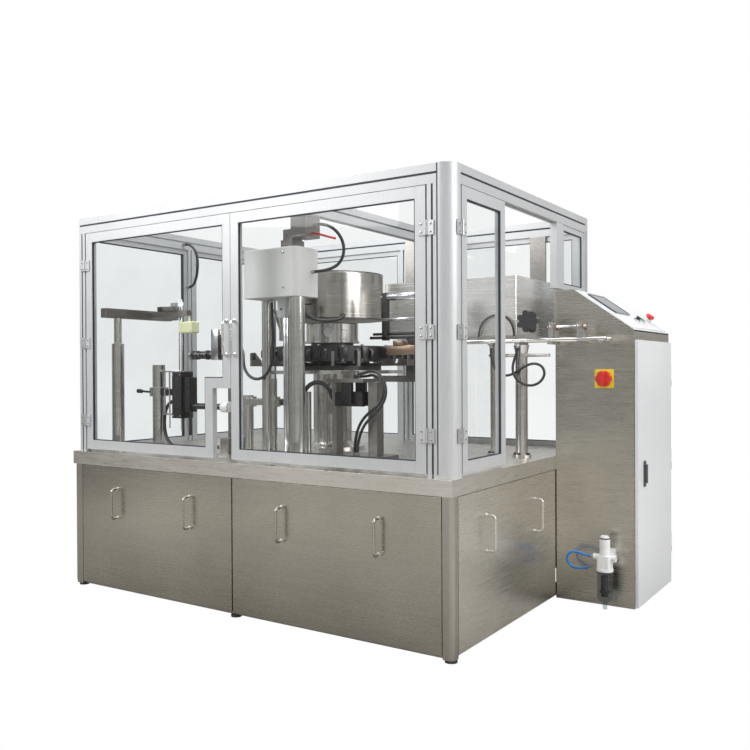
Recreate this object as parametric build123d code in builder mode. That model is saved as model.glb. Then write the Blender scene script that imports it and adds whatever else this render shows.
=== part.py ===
from build123d import *
import math
import os

# Base cabinet. Places are measured from its front right corner: x right, y back, z up from the floor.
base_width = 1973
base_depth = 1484
worktop_top = 620
band_height = 58
band_overhang = 24
table_plate = 12
tube = 40
post_round = 20
foot_height = 10
foot_radius = 22
panel_bottom = 22
panel_sheet = 15
panel_split_x = -1000
panel_seam = 6
mid_post_width = 30
seam = 0.2
sheet = 3

# Bow handles of the lift-off panels
handle_reach = 38
handle_height = 140
handle_rod = 5
handle_bend = 14
handle_middle_z = 400
front_handle_spread = 224
side_handle_spread = 223

# Guard housing
guard_left = -1974
guard_right = -7
guard_front = 22
guard_back = base_depth - 113
guard_top = 1700
guard_post = 40
corner_post_size = 60
corner_post_round = 50
rail_height = 70
rail_slot_z = guard_top - 33
slot_width = 8
slot_depth = 10
left_mid_post_y = 695
rear_mid_post_x = -1000
roof_beam_x = -790
window_frame = 24
window_depth = 20
pane = 5
small_window_front = guard_back - 321
small_window_bottom = 1343
bay_post_front = small_window_front - 74

# Guard doors
door_bottom = 632
door_top = guard_top - rail_height - 2
door_depth = 25
stile = 42
left_hinge_x = -1930
right_hinge_x = -109.5
side_hinge_y = 85.5
hinge_seam = 4
doors_meet_x = -1022
doors_meet_gap = 2
notch_left = -1166
notch_top = 962
side_door_back = 443
hinge_leaf = 26
hinge_height = 50
hinge_plate = 5
barrel_radius = 5
barrel_gap = 0.3
hinge_levels = (door_bottom + 133, (door_bottom + door_top) / 2 - 8, door_top - 148)
door_handle_bottom = 1050
door_handle_height = 148
door_handle_reach = 28

# Console cabinet
console_width = 336
console_depth = 544
console_front = base_depth - console_depth
console_bottom = 10
console_side_top = 1330
slope_start = 80
slope_end_top = 1152
console_door_gap = 2
console_door_sheet = 12
console_door_bottom = 16
console_door_top = 1110
console_hinge_radius = 6
plate_thickness = 4
slope_margin = 12

# Turret and the tools round it
turret_x = -1010
turret_y = 700
pedestal_radius = 90
cam_plate_bottom = 975
cam_plate_thickness = 15
cam_plate_radius = 330
running_gap = 0.3
disc_thickness = 20
disc_radius = 230
hub_radius = 100
carrier_z = (1032, 1100)
carrier_radius = 275
hub_cover_bottom = 1117
hub_cover_height = 93
hub_cover_radius = 122
drum_height = 213
drum_radius = 240
stations = 8
arm_inner = 150
arm_outer = 385
arm_width = 18
arm_thickness = 12
arm_half_spread = 8.5
finger_length = 45
finger_height = 62

head_left = -1088
head_right = -791
head_front = 160
head_back = 320
head_height = 202
head_top = guard_top - rail_height - 134
head_bottom = head_top - head_height
drum_bottom = head_bottom - 72
head_round = 28
head_column_radius = 33.5
head_column_x = -832
head_column_y = 212

# Outer reaches fix where the corner lies in the part's own frame, whose origin is the middle of the floor.
latch_reach = 14
reach_left = base_width + band_overhang
reach_right = console_width + console_door_gap + console_door_sheet + latch_reach
reach_front = handle_reach
reach_back = base_depth
corner_x = (reach_left - reach_right) / 2
corner_y = -(reach_back - reach_front) / 2


def place(x, y, z):
    """Turn a place measured from the base's corner into the part's own frame."""
    return (x + corner_x, y + corner_y, z)


def block(x, y, z, mode=Mode.ADD):
    """A plain bar or plate between two values on each axis."""
    with Locations(place(sum(x) / 2, sum(y) / 2, sum(z) / 2)):
        Box(x[1] - x[0], y[1] - y[0], z[1] - z[0], mode=mode)


def upright(x, y, z, radius, mode=Mode.ADD):
    """A round bar along Z."""
    with Locations(place(x, y, sum(z) / 2)):
        Cylinder(radius, z[1] - z[0], mode=mode)


def round_bar_x(x, y, z, radius, mode=Mode.ADD):
    """A round bar along X."""
    with Locations(Location(place(sum(x) / 2, y, z), (0, 90, 0))):
        Cylinder(radius, x[1] - x[0], mode=mode)


def round_bar_y(x, y, z, radius, mode=Mode.ADD):
    """A round bar along Y."""
    with Locations(Location(place(x, sum(y) / 2, z), (90, 0, 0))):
        Cylinder(radius, y[1] - y[0], mode=mode)


def section_along_x(x, y, z):
    """A sketch plane across X, with its own x towards the back and its own y up."""
    return Plane(origin=place(x, y, z), x_dir=(0, 1, 0), z_dir=(1, 0, 0))


def section_towards_front(x, y, z):
    """A sketch plane across Y that faces the front, with its own x to the right and its own y up."""
    return Plane(origin=place(x, y, z), x_dir=(1, 0, 0), z_dir=(0, -1, 0))


def floor_plan(x, y, z):
    """A horizontal sketch plane."""
    return Plane(origin=place(x, y, z), x_dir=(1, 0, 0), z_dir=(0, 0, 1))


def bent_rod(points, bend, radius):
    """A round rod through corner points, with every corner bent to one radius."""
    with BuildLine() as path:
        FilletPolyline(points, radius=[bend] * (len(points) - 2))
    with BuildSketch(Plane(origin=path.line @ 0, z_dir=path.line % 0)) as section:
        Circle(radius)
    sweep(section.sketch, path=path.line)


def hose_bends(points):
    """The largest bend that each corner's two runs allow."""
    corners = [Vector(*point) for point in points]
    bends = []
    for before, corner, after in zip(corners, corners[1:], corners[2:]):
        turn = (corner - before).get_angle(after - corner)
        shorter = min((corner - before).length, (after - corner).length)
        bends.append(0.45 * shorter / math.tan(math.radians(turn / 2)))
    return bends


def hose(points, radius):
    """A hose through hand-chosen points, as straight runs joined by tangent arcs."""
    route = [place(*point) for point in points]
    bends = hose_bends(route)
    with BuildLine() as path:
        FilletPolyline(route, radius=bends)
    with BuildSketch(Plane(origin=path.line @ 0, z_dir=path.line % 0)) as section:
        Circle(radius)
    sweep(section.sketch, path=path.line)
    length = sum(edge.length for edge in path.edges())
    print("hose length", round(length), "bends", [round(bend) for bend in bends])


def slotted_square(size):
    """The section of a square aluminium profile with a slot in each side."""
    Rectangle(size, size)
    with PolarLocations(size / 2, 4):
        Rectangle(2 * slot_depth, slot_width, mode=Mode.SUBTRACT)


def rail_section():
    """The section of a top rail, slotted low on both sides and in its underside."""
    slot_z = rail_slot_z - (guard_top - rail_height / 2)
    Rectangle(guard_post, rail_height)
    with Locations((-guard_post / 2, slot_z), (guard_post / 2, slot_z)):
        Rectangle(2 * slot_depth, slot_width, mode=Mode.SUBTRACT)
    with Locations((0, -rail_height / 2)):
        Rectangle(slot_width, 2 * slot_depth, mode=Mode.SUBTRACT)


def hinge_leaves_front(hinge_x, side):
    """Three leaves on the front face, on one side of a hinge line."""
    near = hinge_x + side * (barrel_radius + barrel_gap)
    far = hinge_x + side * (barrel_radius + hinge_leaf)
    front = (guard_front - hinge_plate, guard_front)
    for level in hinge_levels:
        block(sorted((near, far)), front, (level - hinge_height / 2, level + hinge_height / 2))


def hinge_leaves_side(side):
    """Three leaves on the right face, on one side of the side door's hinge line."""
    near = side_hinge_y + side * (barrel_radius + barrel_gap)
    far = side_hinge_y + side * (barrel_radius + hinge_leaf)
    face = (guard_right, guard_right + hinge_plate)
    for level in hinge_levels:
        block(face, sorted((near, far)), (level - hinge_height / 2, level + hinge_height / 2))


def bow_handle_front(x, middle_z, face_y):
    """A bent rod handle on a panel that faces the front."""
    out = face_y - handle_reach + handle_rod
    low = middle_z - handle_height / 2 + handle_rod
    high = middle_z + handle_height / 2 - handle_rod
    corners = [place(x, face_y, low), place(x, out, low), place(x, out, high), place(x, face_y, high)]
    bent_rod(corners, handle_bend, handle_rod)


def bow_handle_side(y, middle_z, face_x):
    """A bent rod handle on a panel that faces the right."""
    out = face_x + handle_reach - handle_rod
    low = middle_z - handle_height / 2 + handle_rod
    high = middle_z + handle_height / 2 - handle_rod
    corners = [place(face_x, y, low), place(out, y, low), place(out, y, high), place(face_x, y, high)]
    bent_rod(corners, handle_bend, handle_rod)


def door_handle(x):
    """A bent rod handle on a guard door's front face."""
    out = guard_front - door_handle_reach + handle_rod
    low = door_handle_bottom + handle_rod
    high = door_handle_bottom + door_handle_height - handle_rod
    corners = [place(x, guard_front, low), place(x, out, low), place(x, out, high),
               place(x, guard_front, high)]
    bent_rod(corners, handle_bend, handle_rod)


def window_ring_x(x, y, z):
    """A fixed window's frame across X, between two values of y and z."""
    block((x, x + window_depth), y, z)
    inner_y = (y[0] + window_frame, y[1] - window_frame)
    inner_z = (z[0] + window_frame, z[1] - window_frame)
    block((x - 1, x + window_depth + 1), inner_y, inner_z, mode=Mode.SUBTRACT)


def window_ring_y(x, y, z):
    """A fixed window's frame across Y, between two values of x and z."""
    block(x, (y, y + window_depth), z)
    inner_x = (x[0] + window_frame, x[1] - window_frame)
    inner_z = (z[0] + window_frame, z[1] - window_frame)
    block(inner_x, (y - 1, y + window_depth + 1), inner_z, mode=Mode.SUBTRACT)


def within(span, margin):
    """A span drawn in by a margin at both ends."""
    return (span[0] + margin, span[1] - margin)


def save(builder, name):
    """Label a finished piece and write it out."""
    builder.part.label = name
    export_step(builder.part, f"parts/{name}.step")


os.makedirs("parts", exist_ok=True)

# Base frame: square steel tube, butted and welded, with a rounded tube at the front right corner
frame_top = worktop_top - band_height
frame_bottom = foot_height
rail_low = (frame_bottom, frame_bottom + tube)
rail_high = (frame_top - tube, frame_top)
inner_front = (tube + seam, base_depth - tube - seam)
left_x = (-base_width, -base_width + tube)
right_x = (-tube, 0)
front_y = (0, tube)
back_y = (base_depth - tube, base_depth)
mid_x = (panel_split_x - mid_post_width / 2, panel_split_x + mid_post_width / 2)
panel_depth = panel_sheet + running_gap
mid_y = (panel_depth, panel_depth + mid_post_width)
turret_beam_offset = 210
with BuildPart() as base_frame:
    with BuildSketch(floor_plan(-tube / 2, tube / 2, frame_bottom)):
        corner = Rectangle(tube, tube)
        fillet(max(corner.vertices(), key=lambda v: v.X - v.Y), radius=post_round)
    extrude(amount=frame_top - frame_bottom)
    block(left_x, front_y, (frame_bottom, frame_top))
    block(left_x, back_y, (frame_bottom, frame_top))
    block(right_x, back_y, (frame_bottom, frame_top))
    for depth in ((panel_depth, panel_depth + tube - panel_sheet), back_y):
        for level in (rail_low, rail_high):
            block((left_x[1] + seam, right_x[0] - seam), depth, level)
    between = (rail_low[1] + seam, rail_high[0] - seam)
    block(mid_x, mid_y, between)
    for level in (rail_low, rail_high):
        block(left_x, inner_front, level)
        block((right_x[0], right_x[1] - panel_depth), inner_front, level)
    for side in (-1, 1):
        beam = turret_x + side * turret_beam_offset
        beam_y = (panel_depth + tube - panel_sheet + seam, back_y[0] - seam)
        block((beam - tube / 2, beam + tube / 2), beam_y, rail_high)
save(base_frame, "base_frame")

with BuildPart() as levelling_feet:
    foot_x = (-base_width + tube / 2, panel_split_x, -tube / 2)
    foot_y = (tube / 2 + 4, base_depth - tube / 2 - 4)
    for x in foot_x:
        for y in foot_y:
            upright(x, y, (0, foot_height), foot_radius)
save(levelling_feet, "levelling_feet")

# Worktop: a thick plate whose front, back and sides carry the folded band
with BuildPart() as worktop:
    top_x = (-base_width - band_overhang, 0)
    block(top_x, (0, base_depth), (worktop_top - table_plate, worktop_top))
    rim = band_overhang + tube / 2
    with BuildSketch(floor_plan(sum(top_x) / 2, base_depth / 2, frame_top)):
        Rectangle(top_x[1] - top_x[0], base_depth)
        Rectangle(top_x[1] - top_x[0] - 2 * rim, base_depth - 2 * rim, mode=Mode.SUBTRACT)
    extrude(amount=band_height - table_plate)
save(worktop, "worktop")

# Lift-off panels: folded sheets that hang in the frame's openings, each with two bow handles
panel_z = (panel_bottom, frame_top - 2)
left_panel_x = (left_x[1] + panel_seam / 2, panel_split_x - panel_seam / 2)
right_panel_x = (panel_split_x + panel_seam / 2, right_x[0] - panel_seam / 2)


def front_panel(x):
    """A front panel between two values of x, folded back at its edges, with its handles."""
    block(x, (0, panel_sheet), panel_z)
    fold = panel_sheet
    inner_x = (x[0] + fold, x[1] - fold)
    block(inner_x, (sheet, panel_sheet), (panel_z[0] + fold, panel_z[1] - fold), mode=Mode.SUBTRACT)
    for side in (-1, 1):
        bow_handle_front(sum(x) / 2 + side * front_handle_spread, handle_middle_z, 0)


with BuildPart() as front_panel_left:
    front_panel(left_panel_x)
save(front_panel_left, "front_panel_left")

with BuildPart() as front_panel_right:
    front_panel(right_panel_x)
save(front_panel_right, "front_panel_right")

side_panel_y = (tube + panel_seam / 2, console_front - panel_seam - 2)
with BuildPart() as side_panel:
    block((-panel_sheet, 0), side_panel_y, panel_z)
    fold_y = (side_panel_y[0] + panel_sheet, side_panel_y[1] - panel_sheet)
    fold_z = (panel_z[0] + panel_sheet, panel_z[1] - panel_sheet)
    block((-panel_sheet, -sheet), fold_y, fold_z, mode=Mode.SUBTRACT)
    for side in (-1, 1):
        bow_handle_side(sum(side_panel_y) / 2 + side * side_handle_spread, handle_middle_z, 0)
save(side_panel, "side_panel")

# Fixed skins: one over the left side of the frame, one set into the opening at the back
with BuildPart() as fixed_panels:
    block((-base_width - sheet, -base_width), (0, base_depth), panel_z)
    skin_z = (rail_low[1] + seam, rail_high[0] - seam)
    block((left_x[1] + seam, right_x[0] - seam), (base_depth - sheet, base_depth), skin_z)
save(fixed_panels, "fixed_panels")

# Drive under the worktop: an indexing gear box on the two beams, with its motor beside it
gearbox_half = 130
gearbox_height = 230
gearbox_bottom = rail_high[0] - gearbox_height
motor_radius = 75
motor_length = 260
with BuildPart() as turret_drive:
    box_x = (turret_x - gearbox_half, turret_x + gearbox_half)
    box_y = (turret_y - gearbox_half, turret_y + gearbox_half)
    block(box_x, box_y, (gearbox_bottom, rail_high[0] - 20))
    fillet(turret_drive.edges().filter_by(Axis.Z), radius=14)
    flange_x = (turret_x - turret_beam_offset - tube / 2, turret_x + turret_beam_offset + tube / 2)
    block(flange_x, box_y, (rail_high[0] - 20, rail_high[0]))
    upright(turret_x, turret_y, (rail_high[0], worktop_top - table_plate), pedestal_radius)

    motor_z = gearbox_bottom + gearbox_height / 2
    motor_start = box_x[1] + seam
    block((motor_start, motor_start + 20), (turret_y - 80, turret_y + 80), (motor_z - 80, motor_z + 80))
    round_bar_x((motor_start + 20, motor_start + motor_length), turret_y, motor_z, motor_radius)
    terminal_x = (motor_start + 90, motor_start + 190)
    terminal_z = (motor_z + motor_radius - 8, motor_z + motor_radius + 34)
    block(terminal_x, (turret_y - 45, turret_y + 45), terminal_z)
save(turret_drive, "turret_drive")

# Console cabinet: welded sheet walls butted together, open towards its side door
console_back = base_depth
slope_run = console_width - slope_start
slope_fall = console_side_top - slope_end_top
slope_length = math.hypot(slope_run, slope_fall)
slope_angle = math.degrees(math.atan2(slope_fall, slope_run))
door_opening_lip = 20
door_face_x = console_width + console_door_gap
door_axis_x = door_face_x + console_door_sheet / 2
door_axis_y = console_back - console_hinge_radius
knuckle_height = 60
knuckle_levels = (180, 560, 940)


def console_outline(inset):
    """The console's five-cornered outline across Y, drawn in from the sheets round it by an inset."""
    drop = inset / math.cos(math.radians(slope_angle))
    end_top = slope_end_top - drop + inset * slope_fall / slope_run
    Polygon((inset, console_bottom + inset), (console_width - inset, console_bottom + inset),
            (console_width - inset, end_top), (slope_start, console_side_top - drop),
            (inset, console_side_top - drop), align=None)


with BuildPart() as console_cabinet:
    with BuildSketch(section_towards_front(0, console_front + sheet, 0)):
        console_outline(0)
    extrude(amount=sheet)
    with BuildSketch(section_towards_front(0, console_back, 0)):
        console_outline(0)
    extrude(amount=sheet)
    wall_y = (console_front + sheet + seam, console_back - sheet - seam)
    block((0, sheet), wall_y, (console_bottom, console_side_top))
    block((sheet + seam, console_width), wall_y, (console_bottom, console_bottom + sheet))
    block((sheet + seam, slope_start), wall_y, (console_side_top - sheet, console_side_top))
    lip_x = (console_width - sheet, console_width)
    block(lip_x, wall_y, (console_door_top - door_opening_lip, slope_end_top - 2 * sheet))
    for depth in ((wall_y[0], wall_y[0] + door_opening_lip), (wall_y[1] - door_opening_lip, wall_y[1])):
        block(lip_x, depth, (console_bottom + sheet + seam, console_door_top - door_opening_lip - seam))
    for level in knuckle_levels:
        low = (level - knuckle_height / 2 - running_gap, level - running_gap)
        upright(door_axis_x, door_axis_y, low, console_hinge_radius)
        block((console_width + seam, door_axis_x), (door_axis_y + 1, door_axis_y + 4), low)
save(console_cabinet, "console_cabinet")

slope_plane = Plane(origin=place(slope_start, (console_front + console_back) / 2, console_side_top),
                    x_dir=(slope_run, 0, -slope_fall), z_dir=(slope_fall, 0, slope_run))
plate_width = console_back - console_front - 2 * sheet - 2 * seam


def on_slope(along, y, height):
    """A place on the sloped control plate: down the slope, back from the corner, above the plate's sheet."""
    middle = (console_front + console_back) / 2
    return slope_plane.from_local_coords((along, y - middle, height))


def slope_sketch(along, y, height):
    """A sketch plane on the slope, its own x down the slope."""
    return Plane(origin=on_slope(along, y, height), x_dir=slope_plane.x_dir, z_dir=slope_plane.z_dir)


control_y = (console_front + console_back) / 2
with BuildPart() as control_panel:
    with BuildSketch(slope_sketch(slope_length / 2 + 1, control_y, -sheet)):
        Rectangle(slope_length - 2 * sheet, plate_width)
    extrude(amount=sheet)
    with BuildSketch(slope_sketch(slope_length / 2, control_y, 0)):
        RectangleRounded(slope_length - 2 * slope_margin, console_back - console_front - 2 * slope_margin, 6)
    extrude(amount=plate_thickness)
save(control_panel, "control_panel")

screen_along = 112
screen_y = console_front + 180
screen_length = 150
screen_width = 210
screen_bezel = 9
with BuildPart() as touch_screen:
    with BuildSketch(slope_sketch(screen_along, screen_y, plate_thickness)):
        RectangleRounded(screen_length, screen_width, 8)
    extrude(amount=6)
    with BuildSketch(slope_sketch(screen_along, screen_y, plate_thickness + 6 - 1)):
        Rectangle(screen_length - 2 * screen_bezel, screen_width - 2 * screen_bezel)
    extrude(amount=1, mode=Mode.SUBTRACT)
save(touch_screen, "touch_screen")

# Push buttons, selector and stop button, each in a collar on the sloped plate
button_along = 236
selector_y = console_front + 240
start_y = console_front + 315
emergency_y = console_front + 472
emergency_along = 215
button_radius = 11
emergency_radius = 20
collar_wall = 4
collar_height = 9
emergency_collar_height = 12
button_fit = 0.3
button_travel = 3
emergency_travel = 4


def collar(along, y, bore, height):
    """A threaded ring that holds a button in the plate."""
    with BuildSketch(slope_sketch(along, y, plate_thickness)) as ring:
        Circle(bore + collar_wall)
        Circle(bore, mode=Mode.SUBTRACT)
    extrude(ring.sketch, amount=height)


def push_button(along, y):
    """A button cap and its shank, standing its travel clear of the plate."""
    with BuildSketch(slope_sketch(along, y, plate_thickness + button_travel + running_gap)) as cap:
        Circle(button_radius)
    extrude(cap.sketch, amount=collar_height + 1)


with BuildPart() as button_collars:
    for y in (selector_y, start_y):
        collar(button_along, y, button_radius + button_fit, collar_height)
    collar(emergency_along, emergency_y, button_radius + button_fit, emergency_collar_height)
save(button_collars, "button_collars")

with BuildPart() as start_button:
    push_button(button_along, start_y)
save(start_button, "start_button")

with BuildPart() as selector_knob:
    with BuildSketch(slope_sketch(button_along, selector_y, plate_thickness + running_gap)):
        Circle(button_radius)
    extrude(amount=collar_height + 1)
    selector_rise = plate_thickness + running_gap + collar_height + 1
    with BuildSketch(slope_sketch(button_along, selector_y, selector_rise)):
        SlotOverall(2 * button_radius - 2, 7)
    extrude(amount=12)
save(selector_knob, "selector_knob")

with BuildPart() as emergency_stop:
    shank_base = plate_thickness + emergency_travel + running_gap
    with BuildSketch(slope_sketch(emergency_along, emergency_y, shank_base)):
        Circle(button_radius)
    extrude(amount=emergency_collar_height + 3)
    with BuildSketch(slope_sketch(emergency_along, emergency_y, shank_base + emergency_collar_height + 1)):
        Circle(emergency_radius)
    extrude(amount=14, taper=12)
save(emergency_stop, "emergency_stop")

# Console side door, hung on knuckles at its back edge, with a turning latch near the front
latch_y = console_front + 90
latch_z = 556
latch_width = 26
latch_height = 108
with BuildPart() as console_door:
    door_x = (door_face_x, door_face_x + console_door_sheet)
    door_edge = door_axis_y - console_hinge_radius - running_gap
    block(door_x, (console_front, door_edge), (console_door_bottom, console_door_top))
    for level in knuckle_levels:
        upright(door_axis_x, door_axis_y, (level, level + knuckle_height), console_hinge_radius)
        tongue = (door_edge, door_axis_y)
        block((door_axis_x - 3, door_axis_x + 3), tongue, (level, level + knuckle_height))
save(console_door, "console_door")

with BuildPart() as console_latch:
    latch_x = door_face_x + console_door_sheet + running_gap
    with BuildSketch(section_along_x(latch_x, latch_y, latch_z)):
        RectangleRounded(latch_width, latch_height, 8)
    extrude(amount=5)
    with BuildSketch(section_along_x(latch_x + 5, latch_y, latch_z)):
        SlotOverall(latch_height - 30, 12, rotation=90)
    extrude(amount=latch_reach - 5 - running_gap)
save(console_latch, "console_latch")

# Switchgear inside the console: a mounting plate with device rails and two rows of devices
gear_plate = 4
gear_plate_z = (120, 1040)
gear_edge = 40
gear_rail = 8
gear_rail_inset = 20
gear_rail_half = 18
gear_rail_levels = (200, 420, 640, 860)
device_columns = 5
device_depth = 70
device_width = 60
device_pitch = 72
device_rows = ((180, 290), (620, 720))
with BuildPart() as switchgear:
    plate_x = (sheet + seam, sheet + seam + gear_plate)
    gear_y = within(wall_y, gear_edge)
    block(plate_x, gear_y, gear_plate_z)
    device_x = (plate_x[1], plate_x[1] + device_depth)
    for level in gear_rail_levels:
        block((plate_x[1], plate_x[1] + gear_rail), within(gear_y, gear_rail_inset),
              (level - gear_rail_half, level + gear_rail_half))
    for column in range(device_columns):
        y = gear_y[0] + gear_edge + column * device_pitch
        for row in device_rows:
            block(device_x, (y, y + device_width), row)
save(switchgear, "switchgear")

# Main switch on the steel front of the console
switch_x = 212
switch_z = 951
switch_plate = 79
switch_radius = 34
with BuildPart() as main_switch_plate:
    with BuildSketch(section_towards_front(switch_x, console_front, switch_z)):
        RectangleRounded(switch_plate, switch_plate, 6)
    extrude(amount=plate_thickness)
save(main_switch_plate, "main_switch_plate")

with BuildPart() as main_switch_knob:
    knob_face = console_front - plate_thickness - running_gap
    with BuildSketch(section_towards_front(switch_x, knob_face, switch_z)):
        Circle(switch_radius)
        with PolarLocations(switch_radius + 5, 6, start_angle=30):
            Circle(9, mode=Mode.SUBTRACT)
    extrude(amount=16, taper=4)
    with BuildSketch(section_towards_front(switch_x, knob_face - 16, switch_z)):
        SlotOverall(1.7 * switch_radius, 14, rotation=90)
    extrude(amount=16)
save(main_switch_knob, "main_switch_knob")

# Air filter regulator, carried by a bracket on the console's steel front
regulator_x = 235
regulator_y = console_front - 70
regulator_top = 262
regulator_half = 27
bowl_top = 166
bowl_bottom = 41
bowl_radius = 31
port_radius = 13
port_reach = 46
inlet_bore = 6.6
inlet_depth = 14
regulator_port_z = 224
with BuildPart() as regulator_body:
    with BuildSketch(floor_plan(regulator_x, regulator_y, bowl_top + 12)):
        RectangleRounded(2 * regulator_half, 2 * regulator_half, 9)
    extrude(amount=regulator_top - bowl_top - 12 - 30)
    upright(regulator_x, regulator_y, (regulator_top - 31, regulator_top), 21)
    upright(regulator_x, regulator_y, (bowl_top, bowl_top + 13), bowl_radius + 3)
    ports_x = (regulator_x - port_reach, regulator_x + port_reach)
    round_bar_x(ports_x, regulator_y, regulator_port_z, port_radius)
    bore_x = (regulator_x + port_reach - inlet_depth, regulator_x + port_reach)
    round_bar_x(bore_x, regulator_y, regulator_port_z, inlet_bore, mode=Mode.SUBTRACT)
    bracket_y = (regulator_y + regulator_half - 1, console_front)
    block((regulator_x - 16, regulator_x + 16), bracket_y, (regulator_port_z - 14, regulator_port_z + 6))
    block((regulator_x - 24, regulator_x + 24), (console_front - 4, console_front), (190, 250))
save(regulator_body, "regulator_body")

with BuildPart() as regulator_bowl:
    with BuildSketch(section_towards_front(regulator_x, regulator_y, 0)):
        with BuildLine():
            Polyline((0, bowl_top - seam), (bowl_radius, bowl_top - seam), (bowl_radius, bowl_bottom + 22))
            ThreePointArc((bowl_radius, bowl_bottom + 22), (0.75 * bowl_radius, bowl_bottom + 6),
                          (9, bowl_bottom))
            Polyline((9, bowl_bottom), (9, 14), (0, 14), (0, bowl_top - seam))
        make_face()
    revolve(axis=Axis(place(regulator_x, regulator_y, 0), (0, 0, 1)))
save(regulator_bowl, "regulator_bowl")

with BuildPart() as regulator_knob:
    knob_low = regulator_top + running_gap
    with BuildSketch(floor_plan(regulator_x, regulator_y, knob_low)):
        Circle(21)
        with PolarLocations(22, 16):
            Circle(1.6, mode=Mode.SUBTRACT)
    extrude(amount=44)
    fillet(regulator_knob.faces().sort_by(Axis.Z)[-1].outer_wire().edges(), radius=0.8)
    upright(regulator_x, regulator_y, (knob_low + 44, knob_low + 50), 15)
save(regulator_knob, "regulator_knob")

# Guard: slotted posts and rails, a rounded post at the front right corner, and a beam across the roof
post_low = worktop_top
post_high = guard_top - rail_height - seam
slot_post_x = (guard_right - corner_post_size - guard_post - seam, guard_right - corner_post_size - seam)
left_post_x = guard_left + guard_post / 2
front_post_y = guard_front + guard_post / 2
back_post_y = guard_back - guard_post / 2
post_places = (
    (sum(slot_post_x) / 2, front_post_y),
    (left_post_x, front_post_y),
    (left_post_x, left_mid_post_y),
    (left_post_x, back_post_y),
    (rear_mid_post_x, back_post_y),
    (guard_right - guard_post / 2, back_post_y),
)
with BuildPart() as guard_posts:
    middle_x = guard_right - corner_post_size / 2
    middle_y = guard_front + corner_post_size / 2
    with BuildSketch(floor_plan(middle_x, middle_y, post_low)):
        body = Rectangle(corner_post_size, corner_post_size)
        fillet(max(body.vertices(), key=lambda v: v.X - v.Y), radius=corner_post_round)
        inner = corner_post_size / 2
        with Locations((-inner + guard_post / 2, inner)):
            Rectangle(slot_width, 2 * slot_depth, mode=Mode.SUBTRACT)
        with Locations((-inner, inner - guard_post / 2)):
            Rectangle(2 * slot_depth, slot_width, mode=Mode.SUBTRACT)
    extrude(amount=guard_top - post_low)
    for x, y in post_places:
        with BuildSketch(floor_plan(x, y, post_low)):
            slotted_square(guard_post)
        extrude(amount=post_high - post_low)
save(guard_posts, "guard_posts")

rail_middle = guard_top - rail_height / 2
with BuildPart() as guard_rails:
    front_run = (guard_left, guard_right - corner_post_size - seam)
    for x, y in ((front_run, front_post_y), ((guard_left, guard_right), back_post_y)):
        with BuildSketch(section_along_x(x[0], y, rail_middle)):
            rail_section()
        extrude(amount=x[1] - x[0])
    left_run = (guard_front + guard_post + seam, guard_back - guard_post - seam)
    right_run = (guard_front + corner_post_size + seam, left_run[1])
    for x, y in ((left_post_x, left_run), (roof_beam_x, left_run), (guard_right - guard_post / 2, right_run)):
        with BuildSketch(section_towards_front(x, y[1], rail_middle)):
            rail_section()
        extrude(amount=y[1] - y[0])
save(guard_rails, "guard_rails")

# Fixed windows: two on the left, two at the back, one small one above the console beside a short post
rail_under = guard_top - rail_height - seam
window_z = (worktop_top + seam, rail_under - seam)
left_window_y = (
    (guard_front + guard_post + seam, left_mid_post_y - guard_post / 2 - seam),
    (left_mid_post_y + guard_post / 2 + seam, guard_back - guard_post - seam),
)
back_window_x = (
    (guard_left + guard_post + seam, rear_mid_post_x - guard_post / 2 - seam),
    (rear_mid_post_x + guard_post / 2 + seam, guard_right - guard_post - seam),
)
small_window_y = (small_window_front, guard_back - guard_post - seam)
small_window_z = (small_window_bottom, rail_under - seam)
left_frame_x = guard_left + (guard_post - window_depth) / 2
back_frame_y = guard_back - (guard_post + window_depth) / 2
right_frame_x = guard_right - window_depth - 5
with BuildPart() as guard_windows:
    for y in left_window_y:
        window_ring_x(left_frame_x, y, window_z)
    for x in back_window_x:
        window_ring_y(x, back_frame_y, window_z)
    window_ring_x(right_frame_x, small_window_y, small_window_z)
    bay_post_x = (guard_right - 30, guard_right)
    block(bay_post_x, (bay_post_front, small_window_front - seam), (small_window_bottom, rail_under - seam))
save(guard_windows, "guard_windows")

glass_inset = window_frame + seam
glass_offset = (window_depth - pane) / 2
with BuildPart() as guard_panes:
    for y in left_window_y:
        block((left_frame_x + glass_offset, left_frame_x + glass_offset + pane),
              within(y, glass_inset), within(window_z, glass_inset))
    for x in back_window_x:
        block(within(x, glass_inset), (back_frame_y + glass_offset, back_frame_y + glass_offset + pane),
              within(window_z, glass_inset))
    block((right_frame_x + glass_offset, right_frame_x + glass_offset + pane),
          within(small_window_y, glass_inset), within(small_window_z, glass_inset))
save(guard_panes, "guard_panes")

with BuildPart() as hinge_leaves:
    for hinge_x, side in ((left_hinge_x, -1), (right_hinge_x, 1)):
        hinge_leaves_front(hinge_x, side)
        for level in hinge_levels:
            span = (level - hinge_height / 2, level + hinge_height / 2)
            upright(hinge_x, guard_front - barrel_radius - 1, span, barrel_radius)
            neck = sorted((hinge_x, hinge_x + side * (barrel_radius + 1)))
            block(neck, (guard_front - hinge_plate, guard_front - hinge_plate + 2), span)
    hinge_leaves_side(-1)
    for level in hinge_levels:
        span = (level - hinge_height / 2, level + hinge_height / 2)
        upright(guard_right + barrel_radius + 1, side_hinge_y, span, barrel_radius)
        neck = (side_hinge_y - barrel_radius - 1, side_hinge_y)
        block((guard_right + hinge_plate - 2, guard_right + hinge_plate), neck, span)
save(hinge_leaves, "hinge_leaves")

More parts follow.
